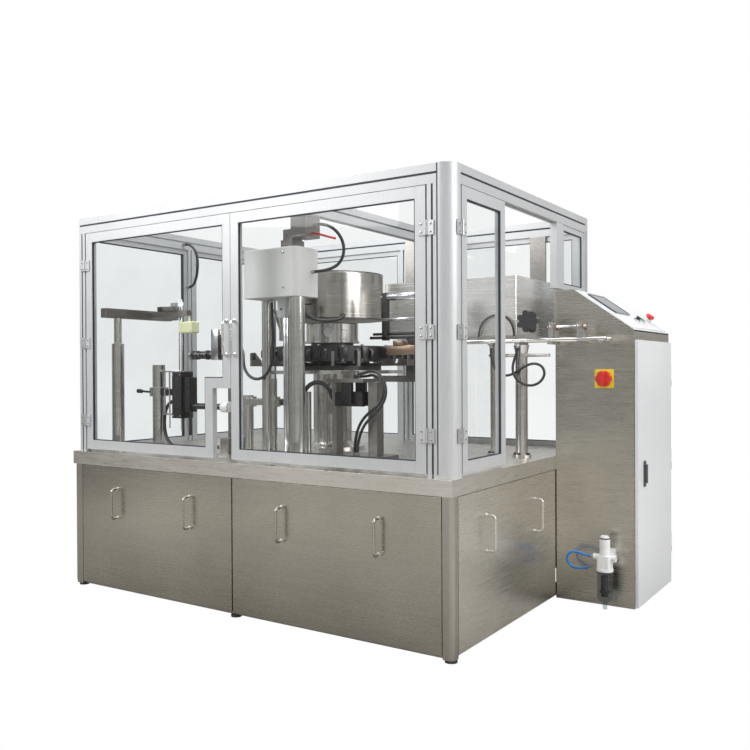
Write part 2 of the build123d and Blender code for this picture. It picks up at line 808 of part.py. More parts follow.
# Front left door, notched at its lower right corner to let the filled pouches out
door_y = (guard_front, guard_front + door_depth)
left_door_x = (left_hinge_x + hinge_seam, doors_meet_x - doors_meet_gap / 2)
right_door_x = (doors_meet_x + doors_meet_gap / 2, right_hinge_x - hinge_seam)
door_z = (door_bottom, door_top)
notch_inner = notch_left + stile
pane_y = (guard_front + (door_depth - pane) / 2, guard_front + (door_depth + pane) / 2)
with BuildPart() as door_left_frame:
    block((left_door_x[0], left_door_x[0] + stile), door_y, door_z)
    block((left_door_x[0] + stile + seam, left_door_x[1]), door_y, (door_top - stile, door_top))
    block((left_door_x[1] - stile, left_door_x[1]), door_y, (notch_top - stile, door_top - stile - seam))
    block((left_door_x[0] + stile + seam, notch_left - seam), door_y, (door_bottom, door_bottom + stile))
    block((notch_left, notch_inner), door_y, (door_bottom, notch_top))
    block((notch_inner + seam, left_door_x[1] - stile - seam), door_y, (notch_top - stile, notch_top))
    hinge_leaves_front(left_hinge_x, 1)
save(door_left_frame, "door_left_frame")

glass_x = (left_door_x[0] + stile + seam, left_door_x[1] - stile - seam)
glass_z = (door_bottom + stile + seam, door_top - stile - seam)
with BuildPart() as door_left_pane:
    block((glass_x[0], notch_left - seam), pane_y, glass_z)
    block((notch_left + seam - 2 * seam, glass_x[1]), pane_y, (notch_top + seam, glass_z[1]))
save(door_left_pane, "door_left_pane")

with BuildPart() as door_left_handle:
    door_handle(left_door_x[1] - stile / 2)
save(door_left_handle, "door_left_handle")

# Front right door
with BuildPart() as door_right_frame:
    for x in ((right_door_x[0], right_door_x[0] + stile), (right_door_x[1] - stile, right_door_x[1])):
        block(x, door_y, door_z)
    span = (right_door_x[0] + stile + seam, right_door_x[1] - stile - seam)
    block(span, door_y, (door_top - stile, door_top))
    block(span, door_y, (door_bottom, door_bottom + stile))
    hinge_leaves_front(right_hinge_x, -1)
save(door_right_frame, "door_right_frame")

with BuildPart() as door_right_pane:
    block(span, pane_y, glass_z)
save(door_right_pane, "door_right_pane")

with BuildPart() as door_right_handle:
    door_handle(right_door_x[0] + stile / 2)
save(door_right_handle, "door_right_handle")

# Side door beside the corner post
side_stile = 38
side_door_x = (guard_right - door_depth, guard_right)
side_door_y = (side_hinge_y + hinge_seam, side_door_back)
side_span = (side_door_y[0] + side_stile + seam, side_door_y[1] - side_stile - seam)
with BuildPart() as side_door_frame:
    block(side_door_x, (side_door_y[0], side_door_y[0] + side_stile), door_z)
    block(side_door_x, (side_door_y[1] - side_stile, side_door_y[1]), door_z)
    block(side_door_x, side_span, (door_top - stile, door_top))
    block(side_door_x, side_span, (door_bottom, door_bottom + stile))
    hinge_leaves_side(1)
save(side_door_frame, "side_door_frame")

with BuildPart() as side_door_pane:
    side_pane_x = (guard_right - (door_depth + pane) / 2, guard_right - (door_depth - pane) / 2)
    block(side_pane_x, side_span, glass_z)
save(side_door_pane, "side_door_pane")

# Turret: pedestal with the fixed cam plate, a turning disc with its hub cover, and two sets of gripper arms
turret_axis = Axis(place(turret_x, turret_y, 0), (0, 0, 1))
cam_plate_top = cam_plate_bottom + cam_plate_thickness
disc_bottom = cam_plate_top + running_gap
disc_top = disc_bottom + disc_thickness
with BuildPart() as turret_pedestal:
    with BuildSketch(section_towards_front(turret_x, turret_y, worktop_top)):
        with BuildLine():
            rise = cam_plate_bottom - worktop_top
            Polyline((0, 0), (pedestal_radius + 60, 0), (pedestal_radius + 60, 18), (pedestal_radius + 10, 24))
            ThreePointArc((pedestal_radius + 10, 24), (pedestal_radius + 3, 32), (pedestal_radius, 46))
            Polyline((pedestal_radius, 46), (pedestal_radius, rise), (0, rise), (0, 0))
        make_face()
    revolve(axis=turret_axis)
    with BuildSketch(floor_plan(turret_x, turret_y, cam_plate_bottom)):
        Circle(cam_plate_radius)
        with PolarLocations(cam_plate_radius - 60, stations, start_angle=22.5):
            SlotOverall(70, 22, rotation=90, mode=Mode.SUBTRACT)
    extrude(amount=cam_plate_thickness)
save(turret_pedestal, "turret_pedestal")

with BuildPart() as turret_disc:
    upright(turret_x, turret_y, (disc_bottom, disc_top), disc_radius)
    upright(turret_x, turret_y, (disc_top + seam, hub_cover_bottom), hub_radius)
    upright(turret_x, turret_y, carrier_z, carrier_radius)
save(turret_disc, "turret_disc")

with BuildPart() as hub_cover:
    upright(turret_x, turret_y, (hub_cover_bottom, hub_cover_bottom + hub_cover_height), hub_cover_radius)
    upright(turret_x, turret_y, (hub_cover_bottom, hub_cover_bottom + 8), hub_cover_radius + 6)
    fillet(hub_cover.faces().sort_by(Axis.Z)[-1].edges(), radius=6)
save(hub_cover, "hub_cover")


# A gripper arm is a tapered bar that lies on the disc and ends in an upright finger
arm_low = disc_top + running_gap
finger_start = arm_outer - finger_length
tip_half = 0.35 * arm_width
with BuildPart() as gripper_arm:
    with BuildSketch(Plane.XY.offset(arm_low)):
        with BuildLine():
            Polyline((arm_inner, -arm_width / 2), (finger_start, -tip_half), (arm_outer, -tip_half),
                     (arm_outer, tip_half), (finger_start, tip_half), (arm_inner, arm_width / 2), close=True)
        make_face()
    extrude(amount=arm_thickness)
    with BuildSketch(Plane.XZ.offset(-tip_half)):
        with BuildLine():
            Polyline((finger_start, arm_low), (arm_outer, arm_low), (arm_outer, arm_low + finger_height),
                     (arm_outer - 16, arm_low + finger_height), (finger_start, arm_low + 24), close=True)
        make_face()
    extrude(amount=2 * tip_half)


def gripper_set(side):
    """One arm per station, all turned a little to one side of the stations' middles."""
    for station in range(stations):
        angle = station * 360 / stations + side * arm_half_spread
        with Locations(Location(place(turret_x, turret_y, 0), (0, 0, angle))):
            add(gripper_arm.part)


with BuildPart() as gripper_arms_left:
    gripper_set(1)
save(gripper_arms_left, "gripper_arms_left")

with BuildPart() as gripper_arms_right:
    gripper_set(-1)
save(gripper_arms_right, "gripper_arms_right")

# Fixed drum above the turret, carried by a bracket from the head
with BuildPart() as centre_drum:
    upright(turret_x, turret_y, (drum_bottom, drum_bottom + drum_height), drum_radius)
    fillet(centre_drum.faces().sort_by(Axis.Z)[-1].edges(), radius=10)
save(centre_drum, "centre_drum")

# Head with its grey cover on polished columns
with BuildPart() as head_cover:
    middle_x = (head_left + head_right) / 2
    middle_y = (head_front + head_back) / 2
    with BuildSketch(floor_plan(middle_x, middle_y, head_bottom)):
        RectangleRounded(head_right - head_left, head_back - head_front, head_round)
    extrude(amount=head_top - head_bottom)
    fillet(head_cover.faces().sort_by(Axis.Z)[-1].edges(), radius=5)
save(head_cover, "head_cover")

# Filling funnel, lowered into each opened pouch from the head's underside
funnel_x = turret_x
funnel_y = turret_y - 362
funnel_top = 1250
funnel_bottom = 1120
funnel_rail_x = (funnel_x + 60, funnel_x + 76)
funnel_rail_half = 8
funnel_carriage_z = (funnel_bottom + 20, funnel_bottom + 60)
with BuildPart() as filling_funnel:
    with BuildSketch(section_towards_front(funnel_x, funnel_y, 0)):
        with BuildLine():
            Polyline((14, funnel_bottom), (17, funnel_bottom), (17, funnel_bottom + 50), (45, funnel_top),
                     (42, funnel_top), (14, funnel_bottom + 51), (14, funnel_bottom))
        make_face()
    revolve(axis=Axis(place(funnel_x, funnel_y, 0), (0, 0, 1)))
    carriage_face = funnel_rail_x[0] - running_gap
    link_z = (funnel_bottom + 30, funnel_bottom + 44)
    block((funnel_x + 16, carriage_face - 9), (funnel_y - 8, funnel_y + 8), link_z)
    block((carriage_face - 10, carriage_face), (funnel_y - 14, funnel_y + 14), funnel_carriage_z)
save(filling_funnel, "filling_funnel")

# Station columns on the worktop with their clamps. Each row is x, y, radius and top.
magazine_z = 1112
magazine_cross_depth = 18
magazine_column_x = -105
magazine_column_y = 820
magazine_column_radius = 25.5
magazine_second_x = -228
magazine_second_radius = 20
mast_x = -1850
mast_y = 140
mast_radius = 28
mast_step_z = 1120
mast_neck_radius = 17.5
mast_top = 1240
rear_column_x = -1050
rear_column_y = 275
rear_column_radius = 20
rear_column_foot_radius = 42
rear_column_foot_height = 14
short_column_x = -1750
short_column_y = 300
short_column_radius = 30
outer_column = (-1227, 350, 26, 880)
inner_column = (-1100, 370, 22, 955)
spare_column = (-884, 350, 15, 900)
column_foot_width = 14
column_foot_height = 12
head_foot_height = 10
head_foot_width = 16
clamp_wall = 14
clamp_radius = short_column_radius + clamp_wall
clamp_z = (830, 874)
clamp_bar_z = (838, 866)
clamp_bar_x = (outer_column[0] - 43, rear_column_x + rear_column_radius)
clamp_bar_y = (315, 384)
column_places = (
    outer_column,
    inner_column,
    spare_column,
    (mast_x, mast_y, mast_radius, mast_step_z),
    (short_column_x, short_column_y, short_column_radius, 1020),
    (magazine_column_x, magazine_column_y, magazine_column_radius, magazine_z - magazine_cross_depth),
    (magazine_second_x, magazine_column_y, magazine_second_radius, magazine_z - magazine_cross_depth),
)
with BuildPart() as station_columns:
    for x, y, radius, top in column_places:
        upright(x, y, (worktop_top, top), radius)
        upright(x, y, (worktop_top, worktop_top + column_foot_height), radius + column_foot_width)
    upright(mast_x, mast_y, (mast_step_z, mast_top), mast_neck_radius)
    upright(head_column_x, head_column_y, (worktop_top, head_bottom), head_column_radius)
    head_foot = (worktop_top, worktop_top + head_foot_height)
    upright(head_column_x, head_column_y, head_foot, head_column_radius + head_foot_width)
    upright(rear_column_x, rear_column_y, (worktop_top, head_bottom), rear_column_radius)
    rear_foot = (worktop_top, worktop_top + rear_column_foot_height)
    upright(rear_column_x, rear_column_y, rear_foot, rear_column_foot_radius)
    block(clamp_bar_x, clamp_bar_y, clamp_bar_z)
    for x, y, radius, top in (outer_column, inner_column):
        upright(x, y, clamp_z, radius + clamp_wall)
    short_clamp_z = (870, 912)
    upright(short_column_x, short_column_y, short_clamp_z, clamp_radius)
save(station_columns, "station_columns")

# Arms on the left mast: a square beam, a lighter arm across to the sensor, a clamp block on it, and the
# coupling rod with its own post
arm_beam_half = 21
arm_beam_y = (60, 460)
arm_beam_z = (mast_top, mast_top + 43)
sensor_x = -1566
sensor_y = 320
arm_end_x = -1560
arm_y = (300, 330)
arm_z = (mast_top + 10, mast_top + 35)
arm_clamp_x = (-1700, -1630)
arm_clamp_y = (280, 350)
arm_clamp_height = 20
coupling_y = 330
coupling_z = 1064
coupling_radius = 16
coupling_collar_radius = 22
coupling_x = (-1560, -1546, -1290)
coupling_block = ((-1345, -1297), (305, 355), (1040, 1160))
coupling_post_x = -1320
coupling_post_y = 341
coupling_post_radius = 14
with BuildPart() as tool_arms:
    block((mast_x - arm_beam_half, mast_x + arm_beam_half), arm_beam_y, arm_beam_z)
    block((mast_x + arm_beam_half, arm_end_x), arm_y, arm_z)
    block(arm_clamp_x, arm_clamp_y, (arm_z[1] + seam, arm_z[1] + arm_clamp_height))
    round_bar_x(coupling_x[1:], coupling_y, coupling_z, coupling_radius)
    round_bar_x(coupling_x[:2], coupling_y, coupling_z, coupling_collar_radius)
    block(*coupling_block)
    post_z = (worktop_top, coupling_block[2][0] + 1)
    upright(coupling_post_x, coupling_post_y, post_z, coupling_post_radius)
save(tool_arms, "tool_arms")

sensor_half_length = 46
sensor_half_depth = 25
sensor_z = (1168, 1222)
sensor_rod_radius = 5
with BuildPart() as sensor_box:
    block((sensor_x - sensor_half_length, sensor_x + sensor_half_length),
          (sensor_y - sensor_half_depth, sensor_y + sensor_half_depth), sensor_z)
    fillet(sensor_box.edges(), radius=7)
    upright(sensor_x, sensor_y, (sensor_z[1] - 1, arm_z[0]), sensor_rod_radius)
save(sensor_box, "sensor_box")

# Date printer, clamped on the short column: carrier, body and print head in a row, with a plunger rod below
# and a cylinder that ends in a knob
printer_y = 300
printer_carrier_x = (short_column_x + clamp_radius + seam, -1612)
printer_body_x = (-1620, -1560)
printer_head_x = (printer_body_x[1] + seam, -1520)
printer_rod_x = -1540
printer_rod_radius = 7
printer_cylinder_z = 827
printer_cylinder_radius = 14
printer_cylinder_end = -1331
printer_knob_radius = 24
printer_knob_end = -1290
with BuildPart() as date_printer:
    block(printer_carrier_x, (printer_y - 30, printer_y + 30), (876, 906))
    block(printer_body_x, (printer_y - 38, printer_y + 38), (770, 985))
    block(printer_head_x, (printer_y - 25, printer_y + 25), (800, 960))
    cylinder_x = (printer_head_x[1] - 1, printer_cylinder_end)
    round_bar_x(cylinder_x, printer_y, printer_cylinder_z, printer_cylinder_radius)
    knob_x = (printer_cylinder_end - 1, printer_knob_end)
    round_bar_x(knob_x, printer_y, printer_cylinder_z, printer_knob_radius)
    upright(printer_rod_x, printer_y, (690, 801), printer_rod_radius)
save(date_printer, "date_printer")

# Heat sealing unit: a stand with two jaws that close on the pouch between them
seal_x = -690
seal_y = 420
jaw_z = (840, 900)
jaw_half = 70
jaw_open = 22
jaw_depth = 22
seal_beam_z = (940, 955)
seal_base_top = worktop_top + 16
seal_post_z = (seal_base_top + seam, seal_beam_z[0] - seam)
seal_base = ((-850, -520), (340, 500))
seal_posts = ((-790, -765), (-604, -560))
seal_post_half = 25
seal_beam = ((seal_posts[0][0], -600), (352, 488))
seal_socket = ((-824, seal_posts[0][0] - seam), (405, 441), (805, 845))
seal_cap_x = (seal_x - 30, seal_x + 10)
seal_cap_half = 20
seal_cap_height = 34
with BuildPart() as sealing_stand:
    block(*seal_base, (worktop_top, seal_base_top))
    for post_x in seal_posts:
        block(post_x, (seal_y - seal_post_half, seal_y + seal_post_half), seal_post_z)
    block(*seal_beam, seal_beam_z)
    block(*seal_socket)
    cap_z = (seal_beam_z[1] + seam, seal_beam_z[1] + seal_cap_height)
    block(seal_cap_x, (seal_y - seal_cap_half, seal_y + seal_cap_half), cap_z)
save(sealing_stand, "sealing_stand")


def sealing_jaw(side):
    """A heated bar and the carriage that hangs it from the stand's beam, in front of or behind the pouch."""
    near = seal_y + side * jaw_open
    far = near + side * jaw_depth
    block((seal_x - jaw_half, seal_x + jaw_half), sorted((near, far)), jaw_z)
    carriage = sorted((far - side, far + side * 16))
    block((seal_x - 25, seal_x + 25), carriage, (jaw_z[0] + 15, seal_beam_z[0] - running_gap))


with BuildPart() as sealing_jaw_front:
    sealing_jaw(-1)
save(sealing_jaw_front, "sealing_jaw_front")

with BuildPart() as sealing_jaw_back:
    sealing_jaw(1)
save(sealing_jaw_back, "sealing_jaw_back")

# Pouch magazine: two rails and cross bars on the two right-hand columns, reaching out past the guard
magazine_front = 788
magazine_back = 852
magazine_rail_radius = 8
magazine_knob_x = -43
magazine_knob_z = magazine_z + 78
magazine_shaft_front = magazine_front - 33
magazine_shaft_radius = 12
magazine_rail_x = (-420, 270)
magazine_guide_x = (40, 160)
magazine_guide_top = magazine_z + 70
magazine_cross_x = (-400, magazine_second_x, magazine_column_x, *magazine_guide_x, 250)
magazine_tie_z = 1051
magazine_tie_radius = 7
magazine_block_y = (magazine_front - 12, magazine_front + 12)
with BuildPart() as magazine_bed:
    on_rail = magazine_z + magazine_rail_radius + seam
    for y in (magazine_front, magazine_back):
        round_bar_x(magazine_rail_x, y, magazine_z, magazine_rail_radius)
        for x in magazine_guide_x:
            block((x - 10, x + 10), (y - 6, y + 6), (on_rail, magazine_guide_top))
    for x in magazine_cross_x:
        cross_z = (magazine_z - magazine_cross_depth, magazine_z - magazine_rail_radius - seam)
        block((x - 12, x + 12), (magazine_front - 14, magazine_back + 14), cross_z)
    tie_y = magazine_column_y + magazine_column_radius + magazine_tie_radius + running_gap
    round_bar_x((-270, 8), tie_y, magazine_tie_z, magazine_tie_radius)
    block((magazine_knob_x - 27, magazine_knob_x + 23), magazine_block_y, (on_rail, magazine_knob_z + 22))
    shaft_y = (magazine_shaft_front, magazine_block_y[0] + 1)
    round_bar_y(magazine_knob_x, shaft_y, magazine_knob_z, magazine_shaft_radius)
save(magazine_bed, "magazine_bed")

with BuildPart() as magazine_knob:
    knob_plane = section_towards_front(magazine_knob_x, magazine_shaft_front - running_gap, magazine_knob_z)
    with BuildSketch(knob_plane):
        Circle(33)
        with PolarLocations(34, 7):
            Circle(12)
    extrude(amount=24)
save(magazine_knob, "magazine_knob")

# Product vessel at the rear right: an open-topped box of polished sheet behind the magazine
vessel_x = (-780, -120)
vessel_y = (800, guard_back - guard_post - 1)
vessel_z = (1136, 1390)
vessel_wall = 3
with BuildPart() as rear_hopper:
    block(vessel_x, vessel_y, vessel_z)
    fillet(rear_hopper.edges().filter_by(Axis.Z), radius=8)
    block(within(vessel_x, vessel_wall), within(vessel_y, vessel_wall), (vessel_z[0] + vessel_wall, vessel_z[1] + 1),
          mode=Mode.SUBTRACT)
save(rear_hopper, "rear_hopper")

# Brackets: drum to head, head to roof beam, funnel guide, vessel to rear rail, an angle plate hung from the
# roof beam behind the turret, and the hose manifold on the worktop
beam_under = guard_top - rail_height
drum_arm_x = (turret_x - 10, turret_x + 60)
drum_arm_z = (head_bottom + 36, head_bottom + 106)
neck_x = (-905, -845)
neck_y = (200, 280)
neck_height = 34
roof_block_x = (neck_x[1], -770)
roof_block_y = (190, 290)
roof_block_low = head_top + 40
tie_plate_y = (215, 265)
vessel_hangers = (-700, -240)
hanger_half = 40
angle_plate_y = (1096, 1104)
angle_plate_x = (-846, -784)
angle_plate_low = 930
angle_shelf_end = -1040
angle_shelf_height = 32
manifold = ((-1300, -1250), (248, 298), (worktop_top, worktop_top + 70))
with BuildPart() as support_brackets:
    block(drum_arm_x, (head_back + seam, turret_y - drum_radius + 20), drum_arm_z)
    upright(turret_x, turret_y, (drum_bottom, drum_bottom + drum_height), drum_radius + seam, mode=Mode.SUBTRACT)
    block(neck_x, neck_y, (head_top, head_top + neck_height))
    block(roof_block_x, roof_block_y, (roof_block_low, beam_under))
    block((neck_x[0], neck_x[1] + 1), tie_plate_y, (head_top + 20, roof_block_low + 40))
    funnel_arm_z = (head_bottom + 10, head_bottom + 60)
    block((funnel_x + 40, funnel_x + 92), (head_back + seam, funnel_y + 14), funnel_arm_z)
    rail_y = (funnel_y - funnel_rail_half, funnel_y + funnel_rail_half)
    block(funnel_rail_x, rail_y, (funnel_carriage_z[0] - 48, head_bottom + 12))
    for x in vessel_hangers:
        block((x - hanger_half, x + hanger_half), (vessel_y[1] + seam, back_frame_y - seam),
              (vessel_z[0] + 40, beam_under))
    block(angle_plate_x, angle_plate_y, (angle_plate_low, beam_under))
    shelf_z = (angle_plate_low, angle_plate_low + angle_shelf_height)
    block((angle_shelf_end, angle_plate_x[0] + 1), angle_plate_y, shelf_z)
    block(*manifold)
save(support_brackets, "support_brackets")

# Hoses, each along its own route
head_hose_radius = 6.5
head_hose_route = ((-770, 255, 1590), (-735, 255, 1590), (-690, 260, 1576), (-655, 268, 1543), (-636, 272, 1500),
                   (-638, 274, 1456), (-662, 272, 1420), (-702, 268, 1404), (-745, 264, 1398), (-791, 264, 1398))
drum_hose_route = ((-866, 290, 1294), (-866, 290, 1264), (-862, 300, 1236), (-848, 322, 1214), (-826, 356, 1204),
                   (-806, 398, 1203), (-796, 444, 1208), (-796, 486, 1222), (-806.5, 516.2, 1240), (-831.7, 539, 1240))
roof_hose_radius = 7
roof_hose_route = ((-1934, 640, 1655), (-1906, 640, 1655), (-1872, 641, 1642), (-1846, 643, 1612), (-1836, 645, 1570),
                   (-1838, 647, 1524), (-1850, 651, 1482), (-1872, 658, 1450), (-1903, 666, 1432),
                   (-1934, 666, 1432))
tool_hose_route = ((-1297, 318, 1100), (-1266, 318, 1100), (-1226, 307, 1093), (-1191, 283, 1071), (-1166, 255, 1036),
                   (-1144, 238, 996), (-1108, 231, 964), (-1063, 229, 952), (-1022, 231, 966), (-997, 236, 1000),
                   (-988, 239, 1045), (-985, 240, 1098), (-984, 240, 1152), (-987, 240, 1206), (-990, 240, 1254),
                   (-990, 240, 1294))
with BuildPart() as head_hoses:
    hose(head_hose_route, head_hose_radius)
    hose(drum_hose_route, head_hose_radius)
    hose(tool_hose_route, head_hose_radius)
    hose(roof_hose_route, roof_hose_radius)
save(head_hoses, "head_hoses")

seal_hose_radius = 10
seal_hose_route = ((-970, 421, 620), (-970, 421, 690), (-975, 422, 775), (-969, 422, 877), (-948, 422, 916),
                   (-910, 423, 938), (-866, 423, 938), (-828, 423, 916), (-806, 423, 877), (-806, 423, 845))
loop_hose_radius = 6
outer_loop_route = ((-680, 412, 974), (-642, 412, 974), (-594, 408, 992), (-550, 404, 974), (-519, 396, 936),
                    (-510, 388, 888), (-527, 380, 843), (-562, 374, 806), (-600, 370, 774), (-624, 367, 730),
                    (-637, 365, 682), (-637, 365, 636))
inner_loop_route = ((-680, 430, 964), (-642, 430, 964), (-600, 427, 972), (-563, 420, 960), (-538, 411, 928),
                    (-532, 398, 886), (-545, 386, 848), (-580, 378, 822), (-616, 375, 790), (-640, 373, 750),
                    (-650, 372, 712), (-655, 371, 674), (-655, 371, 636))
with BuildPart() as sealing_hoses:
    hose(seal_hose_route, seal_hose_radius)
    hose(outer_loop_route, loop_hose_radius)
    hose(inner_loop_route, loop_hose_radius)
save(sealing_hoses, "sealing_hoses")

printer_hose_radius = 8
printer_hose_route = ((-1620, 294, 850), (-1650, 294, 850), (-1678, 292, 832), (-1694, 289, 802), (-1699, 286, 762),
                      (-1694, 282, 720), (-1678, 277, 680), (-1648, 270, 652), (-1608, 262, 638),
                      (-1562, 256, 632), (-1514, 252, 629), (-1464, 252, 630), (-1416, 257, 635),
                      (-1372, 263, 642), (-1334, 268, 648), (-1300, 268, 648))
with BuildPart() as printer_hose:
    hose(printer_hose_route, printer_hose_radius)
save(printer_hose, "printer_hose")

magazine_hose_radius = 5.5
magazine_hose_route = ((-105, 779, magazine_z - 18), (-106, 778, 1066), (-118, 773, 1032), (-124, 767, 994),
                       (-110, 762, 956), (-76, 759, 930), (-32, 760, 922), (6, 764, 940), (22, 769, 976),
                       (4, 774, 1008), (-36, 778, 1018), (-78, 780, 1002), (-116, 781, 976), (-160, 781, 962),
                       (-198, 781, 978), (-219, 781, 1014), (-228, 780, 1054), (-228, 780, magazine_z - 18))
arc_hose_radius = 4.5
arc_hose_z = magazine_z + magazine_rail_radius + 0.3
arc_hose_route = ((-289, 788, arc_hose_z), (-289, 788, 1150), (-277, 787, 1186), (-247, 786, 1214), (-206, 785, 1226),
                  (-165, 785, 1218), (-135, 786, 1190), (-124, 788, 1152), (-124, 788, arc_hose_z))
with BuildPart() as magazine_hose:
    hose(magazine_hose_route, magazine_hose_radius)
    hose(arc_hose_route, arc_hose_radius)
save(magazine_hose, "magazine_hose")

air_hose_radius = 5
air_hose_route = ((189, 870, 224), (160, 870, 224), (128, 870, 232), (98, 870, 235), (82, 872, 224), (72, 875, 208),
                  (72, 879, 188), (82, 884, 172), (98, 892, 162), (118, 899, 160), (134, 908, 160),
                  (142, 921, 161), (142, 940, 161))
with BuildPart() as air_hose:
    hose(air_hose_route, air_hose_radius)
save(air_hose, "air_hose")
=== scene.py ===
import math
import bmesh
import bpy
from mathutils import Matrix, Vector


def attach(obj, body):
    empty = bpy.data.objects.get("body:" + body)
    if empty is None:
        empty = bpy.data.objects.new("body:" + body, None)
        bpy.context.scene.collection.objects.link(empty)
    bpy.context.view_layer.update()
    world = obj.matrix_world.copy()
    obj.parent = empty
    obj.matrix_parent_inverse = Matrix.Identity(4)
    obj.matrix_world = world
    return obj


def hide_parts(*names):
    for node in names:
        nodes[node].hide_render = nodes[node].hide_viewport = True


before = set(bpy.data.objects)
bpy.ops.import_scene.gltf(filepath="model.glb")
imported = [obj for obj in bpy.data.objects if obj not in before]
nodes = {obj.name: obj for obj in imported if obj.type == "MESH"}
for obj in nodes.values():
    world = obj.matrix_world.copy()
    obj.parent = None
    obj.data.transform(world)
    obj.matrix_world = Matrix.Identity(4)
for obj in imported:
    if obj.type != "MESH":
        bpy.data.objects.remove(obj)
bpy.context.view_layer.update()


# Camera: a level, slightly long lens at chest height to the right of the machine's front corner, set by the
# vanishing points of the base, the guard and the console.
camera_data = bpy.data.cameras.new("photo_camera")
camera_data.sensor_width = 36
camera_data.lens = 39.96
camera = bpy.data.objects.new("photo_camera", camera_data)
bpy.context.scene.collection.objects.link(camera)
yaw, pitch, roll = math.radians(33.3807), math.radians(0.41456), math.radians(-0.26005)
forward = Vector((-math.sin(yaw) * math.cos(pitch), math.cos(yaw) * math.cos(pitch), -math.sin(pitch)))
flat_right = Vector((math.cos(yaw), math.sin(yaw), 0))
flat_up = flat_right.cross(forward)
camera_right = flat_right * math.cos(roll) + flat_up * math.sin(roll)
camera_up = flat_up * math.cos(roll) - flat_right * math.sin(roll)
turn = Matrix((camera_right, camera_up, -forward)).transposed().to_4x4()
camera.matrix_world = Matrix.Translation((2.1350, -3.1926, 0.99575)) @ turn
bpy.context.scene.camera = camera
bpy.context.scene.view_settings.view_transform = "Standard"


# Room: plain white to the eye, and a softly graded workshop in the reflections, brighter overhead than at the
# floor. Three large soft lights stand in for hall lighting.
def place(x, y, z):
    """A place measured in millimetres from the base's front right corner, in the shared frame in metres."""
    return Vector(((x + 816.5) / 1000, (y - 723) / 1000, z / 1000))


def add_node(tree, kind, inputs=None, **settings):
    """A shader node with its settings, and its input values or links by socket name or number."""
    made = tree.nodes.new("ShaderNode" + kind)
    for key, value in settings.items():
        setattr(made, key, value)
    for key, value in (inputs or {}).items():
        if isinstance(value, bpy.types.NodeSocket):
            tree.links.new(value, made.inputs[key])
        else:
            made.inputs[key].default_value = value
    return made


def ramp(tree, factor, stops):
    """A colour ramp from (position, grey or colour) stops."""
    made = add_node(tree, "ValToRGB", {"Fac": factor})
    elements = made.color_ramp.elements
    while len(elements) < len(stops):
        elements.new(0.5)
    for element, (position, colour) in zip(elements, stops):
        element.position = position
        element.color = (*colour, 1) if isinstance(colour, tuple) else (colour, colour, colour, 1)
    return made.outputs["Color"]


world = bpy.data.worlds.new("hall")
world.use_nodes = True
world.node_tree.nodes.clear()
sky = world.node_tree
direction = add_node(sky, "TexCoord").outputs["Generated"]
height = add_node(sky, "SeparateXYZ", {0: direction}).outputs["Z"]
lift = add_node(sky, "MapRange", {"Value": height, "From Min": -1.0, "From Max": 1.0}).outputs["Result"]
hall = ramp(sky, lift, [(0.0, (0.16, 0.15, 0.13)), (0.44, (0.24, 0.225, 0.205)), (0.53, (0.60, 0.59, 0.57)),
                        (0.72, (0.80, 0.81, 0.82)), (1.0, (0.98, 0.98, 1.0))])
bands = add_node(sky, "TexNoise", {"Vector": direction, "Scale": 2.6, "Detail": 1.5}).outputs["Fac"]
banded = add_node(sky, "MixRGB", {"Fac": 0.42, "Color1": hall, "Color2": ramp(sky, bands, [(0.38, 0.12), (0.62, 1.0)])},
                  blend_type="MULTIPLY")
seen = add_node(sky, "LightPath").outputs["Is Camera Ray"]
hall_light = add_node(sky, "Background", {"Color": banded.outputs[0], "Strength": 1.0})
plain_white = add_node(sky, "Background", {"Color": (1, 1, 1, 1), "Strength": 1.0})
either = add_node(sky, "MixShader", {0: seen, 1: hall_light.outputs[0], 2: plain_white.outputs[0]})
add_node(sky, "OutputWorld", {"Surface": either.outputs[0]})
bpy.context.scene.world = world

for name, spot, aim, watts, span in (
    ("light_front_left", (-2.6, -3.4, 3.4), (-0.4, 0.0, 0.8), 135, 2.6),
    ("light_right", (3.9, -0.4, 2.6), (0.6, 0.0, 0.7), 85, 2.2),
    ("light_overhead", (0.0, 0.2, 3.9), (0.0, 0.0, 0.8), 95, 3.0),
):
    light = bpy.data.lights.new(name, "AREA")
    light.energy = watts
    light.size = span
    lamp = bpy.data.objects.new(name, light)
    lamp.location = spot
    lamp.rotation_euler = (Vector(aim) - Vector(spot)).to_track_quat("-Z", "Y").to_euler()
    bpy.context.scene.collection.objects.link(lamp)

floor_mesh = bpy.data.meshes.new("floor")
floor_shape = bmesh.new()
bmesh.ops.create_grid(floor_shape, x_segments=1, y_segments=1, size=9)
floor_shape.to_mesh(floor_mesh)
floor_shape.free()
floor = bpy.data.objects.new("floor", floor_mesh)
bpy.context.scene.collection.objects.link(floor)
floor_paint = bpy.data.materials.new("floor_paint")
floor_paint.use_nodes = True
floor_paint.node_tree.nodes.clear()
tree = floor_paint.node_tree
mottle = add_node(tree, "TexNoise", {"Vector": add_node(tree, "TexCoord").outputs["Object"], "Scale": 1.3})
concrete = ramp(tree, mottle.outputs["Fac"], [(0.35, (0.86, 0.83, 0.78)), (0.65, (0.98, 0.95, 0.90))])
# Painted shadow: the floor's colour is darker close in front of the machine and towards its left, as the shade of the
# machine and the hall, seen only in reflections.
spot = add_node(tree, "SeparateXYZ", {0: add_node(tree, "TexCoord").outputs["Object"]})
across = add_node(tree, "MapRange", {"Value": spot.outputs["X"], "From Min": -5.0, "From Max": 3.0}).outputs["Result"]
ahead = add_node(tree, "MapRange", {"Value": spot.outputs["Y"], "From Min": -5.0, "From Max": 0.0}).outputs["Result"]
shade_x = ramp(tree, across, [(0.0, 0.22), (0.28, 0.62), (0.71, 0.60), (0.85, 1.0)])
shade_y = ramp(tree, ahead, [(0.20, 1.0), (0.76, 0.52)])
